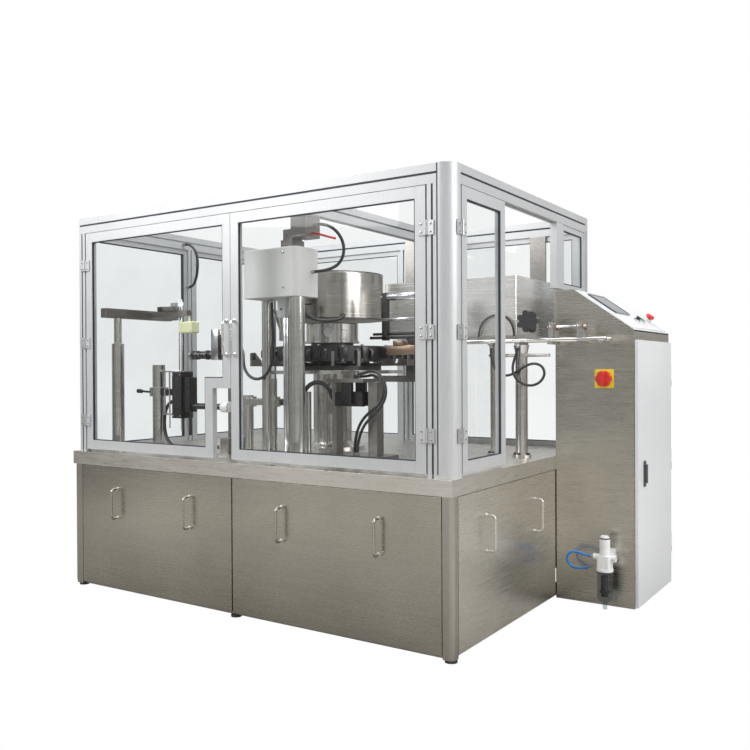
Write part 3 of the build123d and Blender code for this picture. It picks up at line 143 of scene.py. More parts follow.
shade = add_node(tree, "MixRGB", {"Fac": 1.0, "Color1": shade_x, "Color2": shade_y}, blend_type="MULTIPLY")
shaded = add_node(tree, "MixRGB", {"Fac": 1.0, "Color1": concrete, "Color2": shade.outputs[0]}, blend_type="MULTIPLY")
matt = add_node(tree, "BsdfDiffuse", {"Color": shaded.outputs[0]})
glow = add_node(tree, "Emission", {"Color": (1, 1, 1, 1), "Strength": 1.0})
shown = add_node(tree, "LightPath").outputs["Is Camera Ray"]
both = add_node(tree, "MixShader", {0: shown, 1: matt.outputs[0], 2: glow.outputs[0]})
add_node(tree, "OutputMaterial", {"Surface": both.outputs[0]})
floor.data.materials.append(floor_paint)


# Base frame: welded square tube of ground stainless steel, standing on screwed feet with rubber soles.
def make_group(name, inputs, outputs):
    """A node group's tree with its input and output nodes."""
    group = bpy.data.node_groups.new(name, "ShaderNodeTree")
    for label, kind, value in inputs:
        socket = group.interface.new_socket(label, in_out="INPUT", socket_type="NodeSocket" + kind)
        socket.default_value = value
    for label, kind in outputs:
        group.interface.new_socket(label, in_out="OUTPUT", socket_type="NodeSocket" + kind)
    return group, group.nodes.new("NodeGroupInput"), group.nodes.new("NodeGroupOutput")


lines, lines_in, lines_out = make_group(
    "ground_lines",
    [("Stretch", "Vector", (1, 1, 1)), ("Depth", "Float", 0.1), ("Edge", "Float", 0.001)],
    [("Tone", "Float"), ("Cloud", "Float"), ("Normal", "Vector")])
here = add_node(lines, "TexCoord").outputs["Object"]
stretched = add_node(lines, "Mapping", {"Vector": here, "Scale": lines_in.outputs["Stretch"]})
streaks = add_node(lines, "TexNoise", {"Vector": stretched.outputs[0], "Scale": 1.0, "Detail": 4.0,
                                       "Roughness": 0.65}).outputs["Fac"]
clouds = add_node(lines, "TexNoise", {"Vector": here, "Scale": 2.2, "Detail": 3.0}).outputs["Fac"]
rounded = add_node(lines, "Bevel", {"Radius": lines_in.outputs["Edge"]}, samples=3).outputs["Normal"]
scratch = add_node(lines, "Bump", {"Strength": lines_in.outputs["Depth"], "Distance": 0.0004, "Height": streaks,
                                   "Normal": rounded})
lines.links.new(streaks, lines_out.inputs["Tone"])
lines.links.new(clouds, lines_out.inputs["Cloud"])
lines.links.new(scratch.outputs[0], lines_out.inputs["Normal"])


def metal(name, dark, light, rough, stretch, depth=0.12, edge=0.0012, metallic=1.0):
    """A ground, drawn or cast metal whose tone follows its lines and soft clouds."""
    made = bpy.data.materials.new(name)
    made.use_nodes = True
    made.node_tree.nodes.clear()
    tree = made.node_tree
    group = add_node(tree, "Group", {}, node_tree=lines)
    group.inputs["Stretch"].default_value = stretch
    group.inputs["Depth"].default_value = depth
    group.inputs["Edge"].default_value = edge
    blend = add_node(tree, "Math", {0: group.outputs["Tone"], 1: group.outputs["Cloud"]}, operation="ADD")
    tone = ramp(tree, add_node(tree, "Math", {0: blend.outputs[0], 1: 0.5}, operation="MULTIPLY").outputs[0],
                [(0.36, dark), (0.64, light)])
    dull = add_node(tree, "MapRange", {"Value": group.outputs["Tone"], "From Min": 0.3, "From Max": 0.7,
                                       "To Min": rough - 0.05, "To Max": rough + 0.08})
    shader = add_node(tree, "BsdfPrincipled", {"Base Color": tone, "Roughness": dull.outputs[0],
                                               "Normal": group.outputs["Normal"]})
    shader.inputs["Metallic"].default_value = metallic
    add_node(tree, "OutputMaterial", {"Surface": shader.outputs[0]})
    return made


def coat(name, dark, light, rough, scale=60, depth=0.05, edge=0.0012, gloss=0.0):
    """A paint, plastic or rubber with a fine moulded or sprayed texture."""
    made = bpy.data.materials.new(name)
    made.use_nodes = True
    made.node_tree.nodes.clear()
    tree = made.node_tree
    group = add_node(tree, "Group", {}, node_tree=lines)
    group.inputs["Stretch"].default_value = (scale, scale, scale)
    group.inputs["Depth"].default_value = depth
    group.inputs["Edge"].default_value = edge
    blend = add_node(tree, "Math", {0: group.outputs["Tone"], 1: group.outputs["Cloud"]}, operation="ADD")
    tone = ramp(tree, add_node(tree, "Math", {0: blend.outputs[0], 1: 0.5}, operation="MULTIPLY").outputs[0],
                [(0.38, dark), (0.62, light)])
    dull = add_node(tree, "MapRange", {"Value": group.outputs["Cloud"], "From Min": 0.3, "From Max": 0.7,
                                       "To Min": rough - 0.06, "To Max": rough + 0.08})
    shader = add_node(tree, "BsdfPrincipled", {"Base Color": tone, "Roughness": dull.outputs[0],
                                               "Normal": group.outputs["Normal"]})
    shader.inputs["Coat Weight"].default_value = gloss
    add_node(tree, "OutputMaterial", {"Surface": shader.outputs[0]})
    return made


def dress(material, *names):
    """Gives CAD nodes their material."""
    for node_name in names:
        nodes[node_name].data.materials.clear()
        nodes[node_name].data.materials.append(material)


frame_steel = metal("frame_steel", (0.40, 0.38, 0.34), (0.50, 0.47, 0.43), 0.34, (40, 40, 400))
dress(frame_steel, "base_frame")
foot_rubber = coat("foot_rubber", (0.03, 0.03, 0.03), (0.06, 0.06, 0.06), 0.7)
dress(foot_rubber, "levelling_feet")


# Worktop: a thick ground stainless plate with its folded band, lighter than the panels below it.
worktop_steel = metal("worktop_steel", (0.64, 0.615, 0.565), (0.78, 0.755, 0.71), 0.30, (12, 12, 260), 0.08)
dress(worktop_steel, "worktop")


# Lift-off panels: brushed stainless sheets folded back at the edges, with bent rod handles welded on. The
# handles' feet sit on small washers.
# Painted light and shade: the front panels and the side panel are one stainless sheet. The front gets a darker colour
# as painted shade and the side a lighter colour as painted light.
front_steel_shaded_copy = metal("front_steel_shaded_copy", (0.38, 0.36, 0.315), (0.52, 0.495, 0.435), 0.25, (5, 5, 700), 0.10)
dress(front_steel_shaded_copy, "front_panel_left", "front_panel_right", "fixed_panels")
side_steel_lit_copy = metal("side_steel_lit_copy", (0.60, 0.575, 0.525), (0.76, 0.735, 0.68), 0.27, (5, 5, 700), 0.10)
dress(side_steel_lit_copy, "side_panel")


def finish_piece(name, shape, material, body, soft=True):
    """Turns a bmesh into a piece at the origin, in place, that rides on a body."""
    bmesh.ops.recalc_face_normals(shape, faces=shape.faces)
    mesh = bpy.data.meshes.new(name)
    shape.to_mesh(mesh)
    shape.free()
    mesh.materials.append(material)
    made = bpy.data.objects.new(name, mesh)
    bpy.context.scene.collection.objects.link(made)
    if soft:
        mesh.shade_smooth()
        mesh.set_sharp_from_angle(angle=math.radians(35))
    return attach(made, body)


def add_box(shape, x, y, z, bevel=0.0):
    """A block between two values on each axis, in millimetres of the corner frame, with its edges broken."""
    low, high = place(x[0], y[0], z[0]), place(x[1], y[1], z[1])
    spot = Matrix.Translation((low + high) / 2) @ Matrix.Diagonal((*(high - low), 1))
    made = bmesh.ops.create_cube(shape, size=1, matrix=spot)["verts"]
    if bevel:
        edges = list({edge for vert in made for edge in vert.link_edges})
        bmesh.ops.bevel(shape, geom=edges, offset=bevel / 1000, offset_type="OFFSET", segments=2, profile=0.5,
                        affect="EDGES", material=-1)
    return made


def add_rod(shape, start, end, radius, far_radius=None, segments=24, bevel=0.0):
    """A round bar or cone between two places, in millimetres of the corner frame."""
    low, high = place(*start), place(*end)
    aim = (high - low).to_track_quat("Z", "Y").to_matrix().to_4x4()
    far = radius if far_radius is None else far_radius
    spot = Matrix.Translation((low + high) / 2) @ aim
    made = bmesh.ops.create_cone(shape, cap_ends=True, segments=segments, radius1=radius / 1000,
                                 radius2=far / 1000, depth=(high - low).length, matrix=spot)["verts"]
    if bevel:
        rims = [edge for edge in {e for v in made for e in v.link_edges}
                if sorted(len(face.verts) for face in edge.link_faces)[-1] == segments]
        bmesh.ops.bevel(shape, geom=rims, offset=bevel / 1000, offset_type="OFFSET", segments=2, profile=0.5,
                        affect="EDGES", material=-1)
    return made


handle_metal = metal("handle_metal", (0.70, 0.70, 0.69), (0.84, 0.84, 0.83), 0.24, (60, 60, 60), 0.04)
for name, body, middle, spread, front in (("left", "panel_left", -1466.5, 224, True),
                                          ("right", "panel_right", -520, 224, True),
                                          ("side", "panel_side", 487.5, 223, False)):
    shape = bmesh.new()
    for side in (-1, 1):
        for level in (335, 465):
            if front:
                x = middle + side * spread
                add_rod(shape, (x, 0, level), (x, -2.5, level), 9, bevel=0.6)
            else:
                y = middle + side * spread
                add_rod(shape, (0, y, level), (2.5, y, level), 9, bevel=0.6)
    finish_piece("handle_washers_" + name, shape, handle_metal, body)


# Drive: an indexing gear box and motor in machine enamel under the worktop.
drive_enamel = coat("drive_enamel", (0.10, 0.16, 0.22), (0.15, 0.22, 0.29), 0.42, 90, gloss=0.3)
dress(drive_enamel, "turret_drive")


# Console cabinet: brushed stainless sheet with a sloped top, and a light grey door on its right side.
console_steel = metal("console_steel", (0.46, 0.44, 0.395), (0.60, 0.575, 0.52), 0.25, (5, 5, 620), 0.10)
dress(console_steel, "console_cabinet")
grey_enamel = coat("grey_enamel", (0.66, 0.68, 0.70), (0.74, 0.755, 0.77), 0.36, 240, 0.04, gloss=0.25)
dress(grey_enamel, "console_door", "control_panel")
latch_metal = metal("latch_metal", (0.10, 0.10, 0.11), (0.20, 0.20, 0.21), 0.35, (90, 90, 90), 0.05)
dress(latch_metal, "console_latch")
switch_plastic = coat("switch_plastic", (0.03, 0.03, 0.035), (0.07, 0.07, 0.08), 0.4)
dress(switch_plastic, "switchgear")
yellow_moulding = coat("yellow_moulding", (0.80, 0.58, 0.02), (0.92, 0.70, 0.05), 0.35, 120, 0.03, gloss=0.3)
dress(yellow_moulding, "main_switch_plate")
red_moulding = coat("red_moulding", (0.55, 0.02, 0.02), (0.72, 0.05, 0.04), 0.30, 120, 0.03, gloss=0.4)
dress(red_moulding, "main_switch_knob", "emergency_stop")
green_moulding = coat("green_moulding", (0.01, 0.30, 0.10), (0.03, 0.45, 0.16), 0.30, 120, 0.03, gloss=0.4)
dress(green_moulding, "start_button")
black_moulding = coat("black_moulding", (0.02, 0.02, 0.022), (0.045, 0.045, 0.05), 0.42, 300, 0.08, gloss=0.1)
dress(black_moulding, "selector_knob", "magazine_knob")
plated = metal("plated_ring", (0.62, 0.62, 0.64), (0.80, 0.80, 0.82), 0.16, (60, 60, 60), 0.03, 0.0004)
dress(plated, "button_collars")
screen_glass = coat("screen_glass", (0.015, 0.02, 0.03), (0.04, 0.05, 0.07), 0.12, 30, 0.0, 0.0006, 0.8)
dress(screen_glass, "touch_screen")


# Air preparation unit: white enamelled body and knob, a clear bowl with its dark element inside.
white_enamel = coat("white_enamel", (0.74, 0.76, 0.76), (0.84, 0.85, 0.85), 0.32, 180, 0.03, gloss=0.3)
dress(white_enamel, "regulator_body", "regulator_knob")


def clear(name, tint, rough, edge_mix, dirt):
    """A thin clear sheet or moulding: mostly see-through, with a reflection that grows at a shallow angle."""
    made = bpy.data.materials.new(name)
    made.use_nodes = True
    made.node_tree.nodes.clear()
    tree = made.node_tree
    spot = add_node(tree, "TexCoord").outputs["Object"]
    smear = add_node(tree, "TexNoise", {"Vector": spot, "Scale": 3.0, "Detail": 4.0}).outputs["Fac"]
    film = ramp(tree, smear, [(0.4, tint), (0.7, tuple(c * dirt for c in tint))])
    through = add_node(tree, "BsdfTransparent", {"Color": film})
    shine = add_node(tree, "BsdfGlossy", {"Color": (1, 1, 1, 1), "Roughness": rough})
    facing = add_node(tree, "Fresnel", {"IOR": edge_mix})
    inside = add_node(tree, "NewGeometry").outputs["Backfacing"]
    outer = add_node(tree, "Math", {0: 1.0, 1: inside}, operation="SUBTRACT")
    share = add_node(tree, "Math", {0: facing.outputs[0], 1: outer.outputs[0]}, operation="MULTIPLY")
    mixed = add_node(tree, "MixShader", {0: share.outputs[0], 1: through.outputs[0], 2: shine.outputs[0]})
    add_node(tree, "OutputMaterial", {"Surface": mixed.outputs[0]})
    return made


bowl_clear = clear("bowl_clear", (0.72, 0.76, 0.77), 0.08, 1.45, 0.9)
dress(bowl_clear, "regulator_bowl")
shape = bmesh.new()
add_rod(shape, (235, 870, 64), (235, 870, 150), 15, bevel=2)
add_rod(shape, (235, 870, 82), (235, 870, 90), 22)
finish_piece("regulator_element", shape, black_moulding, "machine")
shape = bmesh.new()
add_rod(shape, (235, 870, 300), (235, 870, 306), 21.6, bevel=1)
add_rod(shape, (235, 870, 163), (235, 870, 169), 35.2, segments=32, bevel=1)
finish_piece("regulator_bands", shape, black_moulding, "machine")


# Guard profiles: satin anodised extrusions with slots, pale grey with a slight blue cast.
satin_aluminium = metal("satin_aluminium", (0.52, 0.535, 0.55), (0.61, 0.62, 0.63), 0.44, (300, 300, 14), 0.06,
                        0.001, 0.40)
dress(satin_aluminium, "guard_posts", "guard_windows", "door_left_frame", "door_right_frame", "side_door_frame")
rail_aluminium = metal("rail_aluminium", (0.50, 0.51, 0.525), (0.59, 0.60, 0.61), 0.44, (20, 20, 300), 0.06,
                       0.001, 0.40)
dress(rail_aluminium, "guard_rails")
cast_metal = metal("cast_metal", (0.50, 0.51, 0.52), (0.62, 0.63, 0.64), 0.40, (200, 200, 200), 0.08, 0.001, 0.9)
dress(cast_metal, "hinge_leaves")


# Panes: clear acrylic, held in the frames by dark blue-black rubber profiles that show as a line all round.
pane_clear = clear("pane_clear", (0.955, 0.965, 0.965), 0.03, 1.35, 0.975)
dress(pane_clear, "guard_panes", "door_left_pane", "door_right_pane", "side_door_pane")


def add_frame(shape, plane, depth, u, v, width):
    """Four strips round a rectangle: plane "y" has u along x, plane "x" has u along y, and v is always z."""
    for span_u, span_v in (((u[0], u[0] + width), v), ((u[1] - width, u[1]), v),
                           ((u[0] + width, u[1] - width), (v[0], v[0] + width)),
                           ((u[0] + width, u[1] - width), (v[1] - width, v[1]))):
        if plane == "y":
            add_box(shape, span_u, depth, span_v)
        else:
            add_box(shape, depth, span_u, span_v)


gasket_rubber = coat("gasket_rubber", (0.015, 0.018, 0.03), (0.035, 0.04, 0.06), 0.55, 200, 0.04)
shape = bmesh.new()
for x, z in (((-1884, -1880), (674, 1586)), ((-1880, -1069), (1582, 1586)), ((-1069, -1065), (962, 1586)),
             ((-1166, -1069), (962, 966)), ((-1170, -1166), (674, 966)), ((-1880, -1170), (674, 678))):
    add_box(shape, x, (24, 31.6), z)
finish_piece("gasket_door_left", shape, gasket_rubber, "door_left")
shape = bmesh.new()
add_frame(shape, "y", (24, 31.6), (-979, -155.5), (674, 1586), 4)
finish_piece("gasket_door_right", shape, gasket_rubber, "door_right")
shape = bmesh.new()
add_frame(shape, "x", (-16.6, -9), (127.5, 405), (674, 1586), 4)
finish_piece("gasket_side_door", shape, gasket_rubber, "side_door")
shape = bmesh.new()
add_frame(shape, "x", (-19.2, -13.5), (1074, 1306.8), (1367, 1605.8), 5)
for x in ((-1909.8, -1044.2), (-955.8, -71.2)):
    add_frame(shape, "y", (1343, 1348.2), x, (644.2, 1605.8), 4)
for y in ((86.2, 650.8), (739.2, 1306.8)):
    add_frame(shape, "x", (-1951.2, -1946), y, (644.2, 1605.8), 4)
    add_frame(shape, "x", (-1962, -1956.8), y, (644.2, 1605.8), 4)
finish_piece("gasket_windows", shape, gasket_rubber, "machine")

# Slot shade strips: painted shade, thin black boxes set in the grooves of the posts and rails and in the seam beside
# the round corner post, where there is only shade. They show as the thin dark lines along every profile.
shape = bmesh.new()
for x in (-1954, -87.2):
    add_box(shape, (x - 3.9, x + 3.9), (23.5, 29), (632, 1629.6))
add_box(shape, (-69.5, -65.5), (21.2, 22.2), (632, 1699))
add_box(shape, (-1970, -70), (23.5, 29), (1663.2, 1670.8))
add_box(shape, (-14, -8.5), (84, 1370), (1663.2, 1670.8))
add_box(shape, (-1972.5, -1967), (24, 1369), (1663.2, 1670.8))
for y in (42, 695, 1351):
    add_box(shape, (-1972.5, -1967), (y - 3.9, y + 3.9), (622, 1629.6))
add_box(shape, (-14, -8.5), (1347.2, 1354.8), (622, 1629.6))
add_box(shape, (-1932, -50), (1332.5, 1338), (1663.2, 1670.8))
add_box(shape, (-808.5, -803), (64, 1329), (1663.2, 1670.8))
add_box(shape, (-777, -771.5), (64, 1329), (1663.2, 1670.8))
add_box(shape, (-793.9, -786.1), (64, 1329), (1631.5, 1637))
finish_piece("slot_shade_strips", shape, gasket_rubber, "machine")

# Hinge screws: four button heads per hinge, two on the leaf of the post and two on the leaf of the door.
screw_metal = metal("screw_metal", (0.42, 0.42, 0.43), (0.62, 0.62, 0.63), 0.25, (200, 200, 200), 0.03, 0.0003)
for name, at, side, body in (("door_left", -1930, 1, "door_left"), ("post_left", -1930, -1, "machine"),
                             ("door_right", -109.5, -1, "door_right"), ("post_right", -109.5, 1, "machine")):
    shape = bmesh.new()
    for level in (765, 1122, 1480):
        for rise in (-14, 14):
            x = at + side * 19
            add_rod(shape, (x, 17.2, level + rise), (x, 15, level + rise), 4.2, bevel=0.8)
            add_rod(shape, (x, 15.2, level + rise), (x, 14.9, level + rise), 1.9, segments=6)
    finish_piece("hinge_screws_" + name, shape, screw_metal, body)
for name, side, body in (("side_door", 1, "side_door"), ("side_post", -1, "machine")):
    shape = bmesh.new()
    for level in (765, 1122, 1480):
        for rise in (-14, 14):
            y = 85.5 + side * 19
            add_rod(shape, (-2.2, y, level + rise), (0, y, level + rise), 4.2, bevel=0.8)
    finish_piece("hinge_screws_" + name, shape, screw_metal, body)
shape = bmesh.new()
for level in (765, 1122, 1480):
    for end in (-1, 1):
        low, high = sorted((level + end * 24.5, level + end * 27))
        for x in (-1930, -109.5):
            add_rod(shape, (x, 16, low), (x, 16, high), 4.4, bevel=0.8)
        add_rod(shape, (-1, 85.5, low), (-1, 85.5, high), 4.4, bevel=0.8)
finish_piece("hinge_pins", shape, screw_metal, "machine")

# Door handles: polished bent rods with round rosettes where they meet the door frame.
dress(handle_metal, "door_left_handle", "door_right_handle")
for name, x in (("left", -1044), ("right", -1000)):
    shape = bmesh.new()
    for level in (1055, 1193):
        add_rod(shape, (x, 22, level), (x, 19.5, level), 9, bevel=0.7)
    finish_piece("handle_rosettes_" + name, shape, handle_metal, "door_" + name)

# Turret: a dark carrier with gripper heads round its rim over a ground disc, on a polished pedestal. Each
# station has a link block, a guide pin and a spring between its two arms.
polished = metal("polished_steel", (0.60, 0.585, 0.56), (0.78, 0.765, 0.74), 0.16, (8, 8, 300), 0.04)
dark_steel = metal("dark_steel", (0.05, 0.05, 0.055), (0.13, 0.125, 0.125), 0.34, (120, 120, 120), 0.10)
arm_steel = metal("arm_steel", (0.20, 0.19, 0.185), (0.42, 0.40, 0.38), 0.30, (160, 160, 160), 0.10)
drum_steel = metal("drum_steel", (0.44, 0.415, 0.38), (0.62, 0.595, 0.56), 0.20, (3, 3, 220), 0.05)
dress(polished, "turret_pedestal", "hub_cover")
dress(drum_steel, "centre_drum")
dress(dark_steel, "turret_disc")
dress(arm_steel, "gripper_arms_left", "gripper_arms_right")


def round_turret(radius, degrees, z):
    """A place at a radius and angle about the turret's axis."""
    angle = math.radians(degrees)
    return (-1010 + radius * math.cos(angle), 700 + radius * math.sin(angle), z)


def add_radial(shape, radius, degrees, half_width, z, bevel=0.0):
    """A block that points away from the turret's axis."""
    middle = place(*round_turret(sum(radius) / 2, degrees, sum(z) / 2))
    size = Matrix.Diagonal(((radius[1] - radius[0]) / 1000, half_width / 500, (z[1] - z[0]) / 1000, 1))
    spot = Matrix.Translation(middle) @ Matrix.Rotation(math.radians(degrees), 4, "Z") @ size
    made = bmesh.ops.create_cube(shape, size=1, matrix=spot)["verts"]
    if bevel:
        edges = list({edge for vert in made for edge in vert.link_edges})
        bmesh.ops.bevel(shape, geom=edges, offset=bevel / 1000, offset_type="OFFSET", segments=2, profile=0.5,
                        affect="EDGES", material=-1)


shape = bmesh.new()
for station in range(8):
    angle = station * 45
    add_radial(shape, (268, 322), angle, 17, (1044, 1092), 2)
    add_radial(shape, (318, 334), angle, 9, (1050, 1084), 2)
    for step in (-15, 15):
        add_radial(shape, (262, 292), angle + step, 11, (1040, 1078), 2)
    add_radial(shape, (262, 284), angle + 22.5, 16, (1046, 1096), 2)
finish_piece("gripper_heads", shape, dark_steel, "turret")
shape = bmesh.new()
for station in range(8):
    angle = station * 45
    for step, radius in ((0, 296), (-15, 279), (15, 279), (22.5, 255)):
        x, y, z = round_turret(radius, angle + step, 1090 if step == 0 else 1076)
        if step == 22.5:
            z = 1098
        add_rod(shape, (x, y, z), (x, y, z + 9), 7, segments=6, bevel=0.6)
    x, y, z = round_turret(302, angle, 1024)
    add_rod(shape, (x, y, 1030), (x, y, 1046), 6, bevel=0.6)
for step in range(16):
    x, y, z = round_turret(112, step * 22.5, 1210)
    add_rod(shape, (x, y, 1207), (x, y, 1212.5), 3, segments=12, bevel=0.4)
finish_piece("turret_screws", shape, screw_metal, "turret")
shape = bmesh.new()
for station in range(8):
    x0, y0, z0 = round_turret(250, station * 45 - 5.5, 1027)
    x1, y1, z1 = round_turret(250, station * 45 + 5.5, 1027)
    for coil in range(9):
        t, u = coil / 9, (coil + 0.55) / 9
        add_rod(shape, (x0 + (x1 - x0) * t, y0 + (y1 - y0) * t, z0), (x0 + (x1 - x0) * u, y0 + (y1 - y0) * u, z1),
                4, segments=12)
finish_piece("arm_springs", shape, screw_metal, "turret")
for name, side in (("left", 1), ("right", -1)):
    shape = bmesh.new()
    for station in range(8):
        angle = station * 45 + side * 8.5
        add_radial(shape, (368, 384), angle, 7.6, (1040, 1070), 1)
        x, y, z = round_turret(170, angle, 1022)
        add_rod(shape, (x, y, 1021.8), (x, y, 1028), 7, segments=6, bevel=0.6)
    finish_piece("finger_pads_" + name, shape, black_moulding, "grippers_" + name)
shape = bmesh.new()
label_spot = round_turret(122.2, -62, 1166)
label_aim = round_turret(124, -62, 1166)
add_rod(shape, label_spot, label_aim, 22, segments=40)
finish_piece("blank_label", shape, white_enamel, "turret")
shape = bmesh.new()
for z, radius in ((1222, 241.2), (1430, 241.2)):
    bmesh.ops.create_cone(shape, cap_ends=False, segments=96, radius1=radius / 1000, radius2=radius / 1000,
                          depth=0.004, matrix=Matrix.Translation(place(-1010, 700, z + 2)))
finish_piece("drum_bands", shape, dark_steel, "machine")

# Head and stations: pale enamelled cover, polished columns, clamps and tools in dark and ground steel.
# Painted sheen: the rear vessel's stainless steel gets a pale colour and is made partly non-metallic, so the lamps
# light it white in place of the bright reflections on its sides.
vessel_steel_painted_sheen = metal("vessel_steel_painted_sheen", (0.76, 0.75, 0.73), (0.90, 0.89, 0.87), 0.22, (4, 4, 260), 0.04, metallic=0.7)
dress(vessel_steel_painted_sheen, "rear_hopper")
dress(polished, "station_columns", "magazine_bed", "filling_funnel")
bracket_steel = metal("bracket_steel", (0.26, 0.245, 0.23), (0.42, 0.40, 0.38), 0.34, (60, 60, 200), 0.08)
dress(bracket_steel, "support_brackets", "sealing_stand")
dress(dark_steel, "sealing_jaw_front", "sealing_jaw_back", "date_printer")
dress(arm_steel, "tool_arms")
head_enamel = coat("head_enamel", (0.74, 0.73, 0.72), (0.82, 0.81, 0.80), 0.36, 240, 0.04, gloss=0.2)
dress(head_enamel, "head_cover")
pale_moulding = coat("pale_moulding", (0.74, 0.76, 0.44), (0.84, 0.85, 0.56), 0.42, 150, 0.04)
dress(pale_moulding, "sensor_box")

# Left tools: two plated guide rods through the arm, a knurled coupling row with a pale block, and round the
# printer an open frame of plates and stay bolts with its white knob, drop pins and clamping lever.
shape = bmesh.new()
for x in (-1632, -1614):
    add_rod(shape, (x, 322, 784), (x, 322, 1328), 3.4, segments=16, bevel=0.6)
for x, y in ((-1672, 266), (-1640, 266), (-1672, 334), (-1640, 334)):
    add_rod(shape, (x, y, 790), (x, y, 986), 3.6, segments=16)
for x, z in ((-1676, 720), (-1598, 708)):
    add_rod(shape, (x, 300, z), (x, 300, 786), 3.2, segments=16, bevel=0.8)
finish_piece("tool_rods", shape, plated, "machine")
shape = bmesh.new()
add_box(shape, (-1690, -1562), (258, 342), (985, 991), 0.8)
add_box(shape, (-1680, -1620), (258, 342), (784, 791), 0.8)
add_box(shape, (-1700, -1616), (330, 336), (1232, 1317), 0.8)
add_box(shape, (-1408, -1364), (303, 352), (1040, 1180), 1.5)
finish_piece("tool_plates", shape, plated, "machine")
shape = bmesh.new()
for x, far, radius in ((-1542, -1508, 20.5), (-1500, -1470, 18), (-1462, -1446, 22), (-1440, -1412, 19),
                       (-1360, -1348, 20)):
    add_rod(shape, (x, 330, 1064), (far, 330, 1064), radius, bevel=1.5)
add_box(shape, (-1755, -1707), (296, 334), (1275, 1298), 1.5)
add_rod(shape, (-1790, 284, 890), (-1832, 262, 894), 5, bevel=1)
add_rod(shape, (-1826, 265, 893), (-1850, 252, 896), 10, segments=24, bevel=3)
finish_piece("tool_collars", shape, dark_steel, "machine")
shape = bmesh.new()
add_rod(shape, (-1332, 300, 827), (-1289, 300, 827), 25, segments=40, bevel=4)
finish_piece("printer_knob", shape, white_enamel, "machine")
shape = bmesh.new()
for z in (1331, 1474):
    add_rod(shape, (-860, 160.5, z), (-860, 156.5, z), 5.5, segments=24, bevel=1)
for x in (-1613, -1567):
    for z in (782, 973):
        add_rod(shape, (x, 262.5, z), (x, 259, z), 4, segments=20, bevel=0.8)
finish_piece("cover_screws", shape, screw_metal, "machine")

# Under the head: a white air cylinder on its rod, a pale block, a bright guide bar beside the polished column, a
# dark T-handle, and on the roof block a short red tube.
shape = bmesh.new()
add_rod(shape, (-1088, 332, 1125), (-1088, 332, 1250), 14, segments=32, bevel=2)
add_rod(shape, (-1088, 332, 1120), (-1088, 332, 1126), 17, segments=6, bevel=1)
finish_piece("air_cylinder", shape, white_enamel, "machine")
shape = bmesh.new()
add_rod(shape, (-1088, 318, 1262), (-1088, 318, 1294.5), 6)
add_box(shape, (-1106, -1070), (308, 350), (1249, 1263), 1)
add_box(shape, (-900, -874), (206, 218), (620.2, 1210), 1)
finish_piece("guide_bar", shape, plated, "machine")
shape = bmesh.new()
add_box(shape, (-950, -905), (228, 262), (1214, 1294.4), 2)
finish_piece("pale_block", shape, grey_enamel, "machine")
shape = bmesh.new()
add_rod(shape, (-928, 228.5, 1248), (-928, 226, 1248), 5, segments=20, bevel=0.8)
add_rod(shape, (-880, 312, 1186), (-880, 312, 1294.5), 4, segments=16, bevel=1)
add_rod(shape, (-908, 312, 1270), (-832, 312, 1270), 3.6, segments=16, bevel=1)
finish_piece("t_handle", shape, dark_steel, "machine")
shape = bmesh.new()
add_rod(shape, (-771, 246, 1556), (-658, 246, 1522), 4.6, segments=20, bevel=1)
finish_piece("red_tube", shape, red_moulding, "machine")

# Right tool: a post behind the front corner carries an arm, two bars and a clamp over the pouches, with a small
# table and a plated cylinder above them.
bronze = metal("bronze", (0.30, 0.20, 0.14), (0.46, 0.33, 0.25), 0.32, (160, 160, 160), 0.08)
shape = bmesh.new()
add_box(shape, (-604, -440), (536, 566), (1056, 1096), 3)
add_box(shape, (-566, -516), (528, 574), (1094, 1116), 3)
finish_piece("right_arm", shape, bronze, "machine")
shape = bmesh.new()
add_box(shape, (-690, -436), (538, 550), (1124, 1136), 1)
add_rod(shape, (-682, 556, 1146), (-436, 556, 1146), 6, segments=16, bevel=1)
add_box(shape, (-628, -602), (538, 564), (1118, 1322), 2)
add_box(shape, (-446, -402), (528, 572), (1040, 1160), 3)
add_box(shape, (-446, -402), (528, 572), (1188, 1322), 3)
finish_piece("right_bars", shape, dark_steel, "machine")
shape = bmesh.new()
add_box(shape, (-618, -444), (525, 575), (1200, 1212), 1)
add_rod(shape, (-603, 551, 1304), (-444, 551, 1304), 16, segments=32, bevel=2)
add_rod(shape, (-640, 551, 1304), (-602, 551, 1304), 6, segments=20, bevel=1)
add_rod(shape, (-424, 550, 620.2), (-424, 550, 1336), 13, segments=32, bevel=1.5)
add_rod(shape, (-424, 550, 620.2), (-424, 550, 632), 26, segments=32, bevel=2)
finish_piece("right_post", shape, plated, "machine")

# Pouch bed: cross rods with clamps on the guides, a flared head on the front column and bolts in the column feet.
shape = bmesh.new()
for x in (40, 160):
    add_rod(shape, (x, 774, 1166), (x, 866, 1166), 5, segments=20, bevel=1)
add_rod(shape, (20, 800, 1166), (184, 800, 1166), 4.5, segments=20, bevel=1)
add_rod(shape, (-105, 820, 1060), (-105, 820, 1093.5), 26, 33, segments=40)
finish_piece("bed_rods", shape, plated, "machine")
shape = bmesh.new()
for x in (40, 160):
    add_box(shape, (x - 15, x + 15), (790, 812), (1154, 1178), 2)
    add_rod(shape, (x, 790.5, 1166), (x, 783, 1166), 9, segments=24, bevel=1.5)
finish_piece("bed_clamps", shape, bronze, "machine")
shape = bmesh.new()
for x, y, reach in ((-105, 820, 31), (-228, 820, 27), (-1750, 300, 37), (-1850, 140, 35)):
    for quarter in range(4):
        turned = math.radians(quarter * 90)
        at_x, at_y = x + reach * math.cos(turned), y + reach * math.sin(turned)
        add_rod(shape, (at_x, at_y, 631.8), (at_x, at_y, 638), 5.5, segments=6, bevel=0.6)
finish_piece("foot_bolts", shape, dark_steel, "machine")

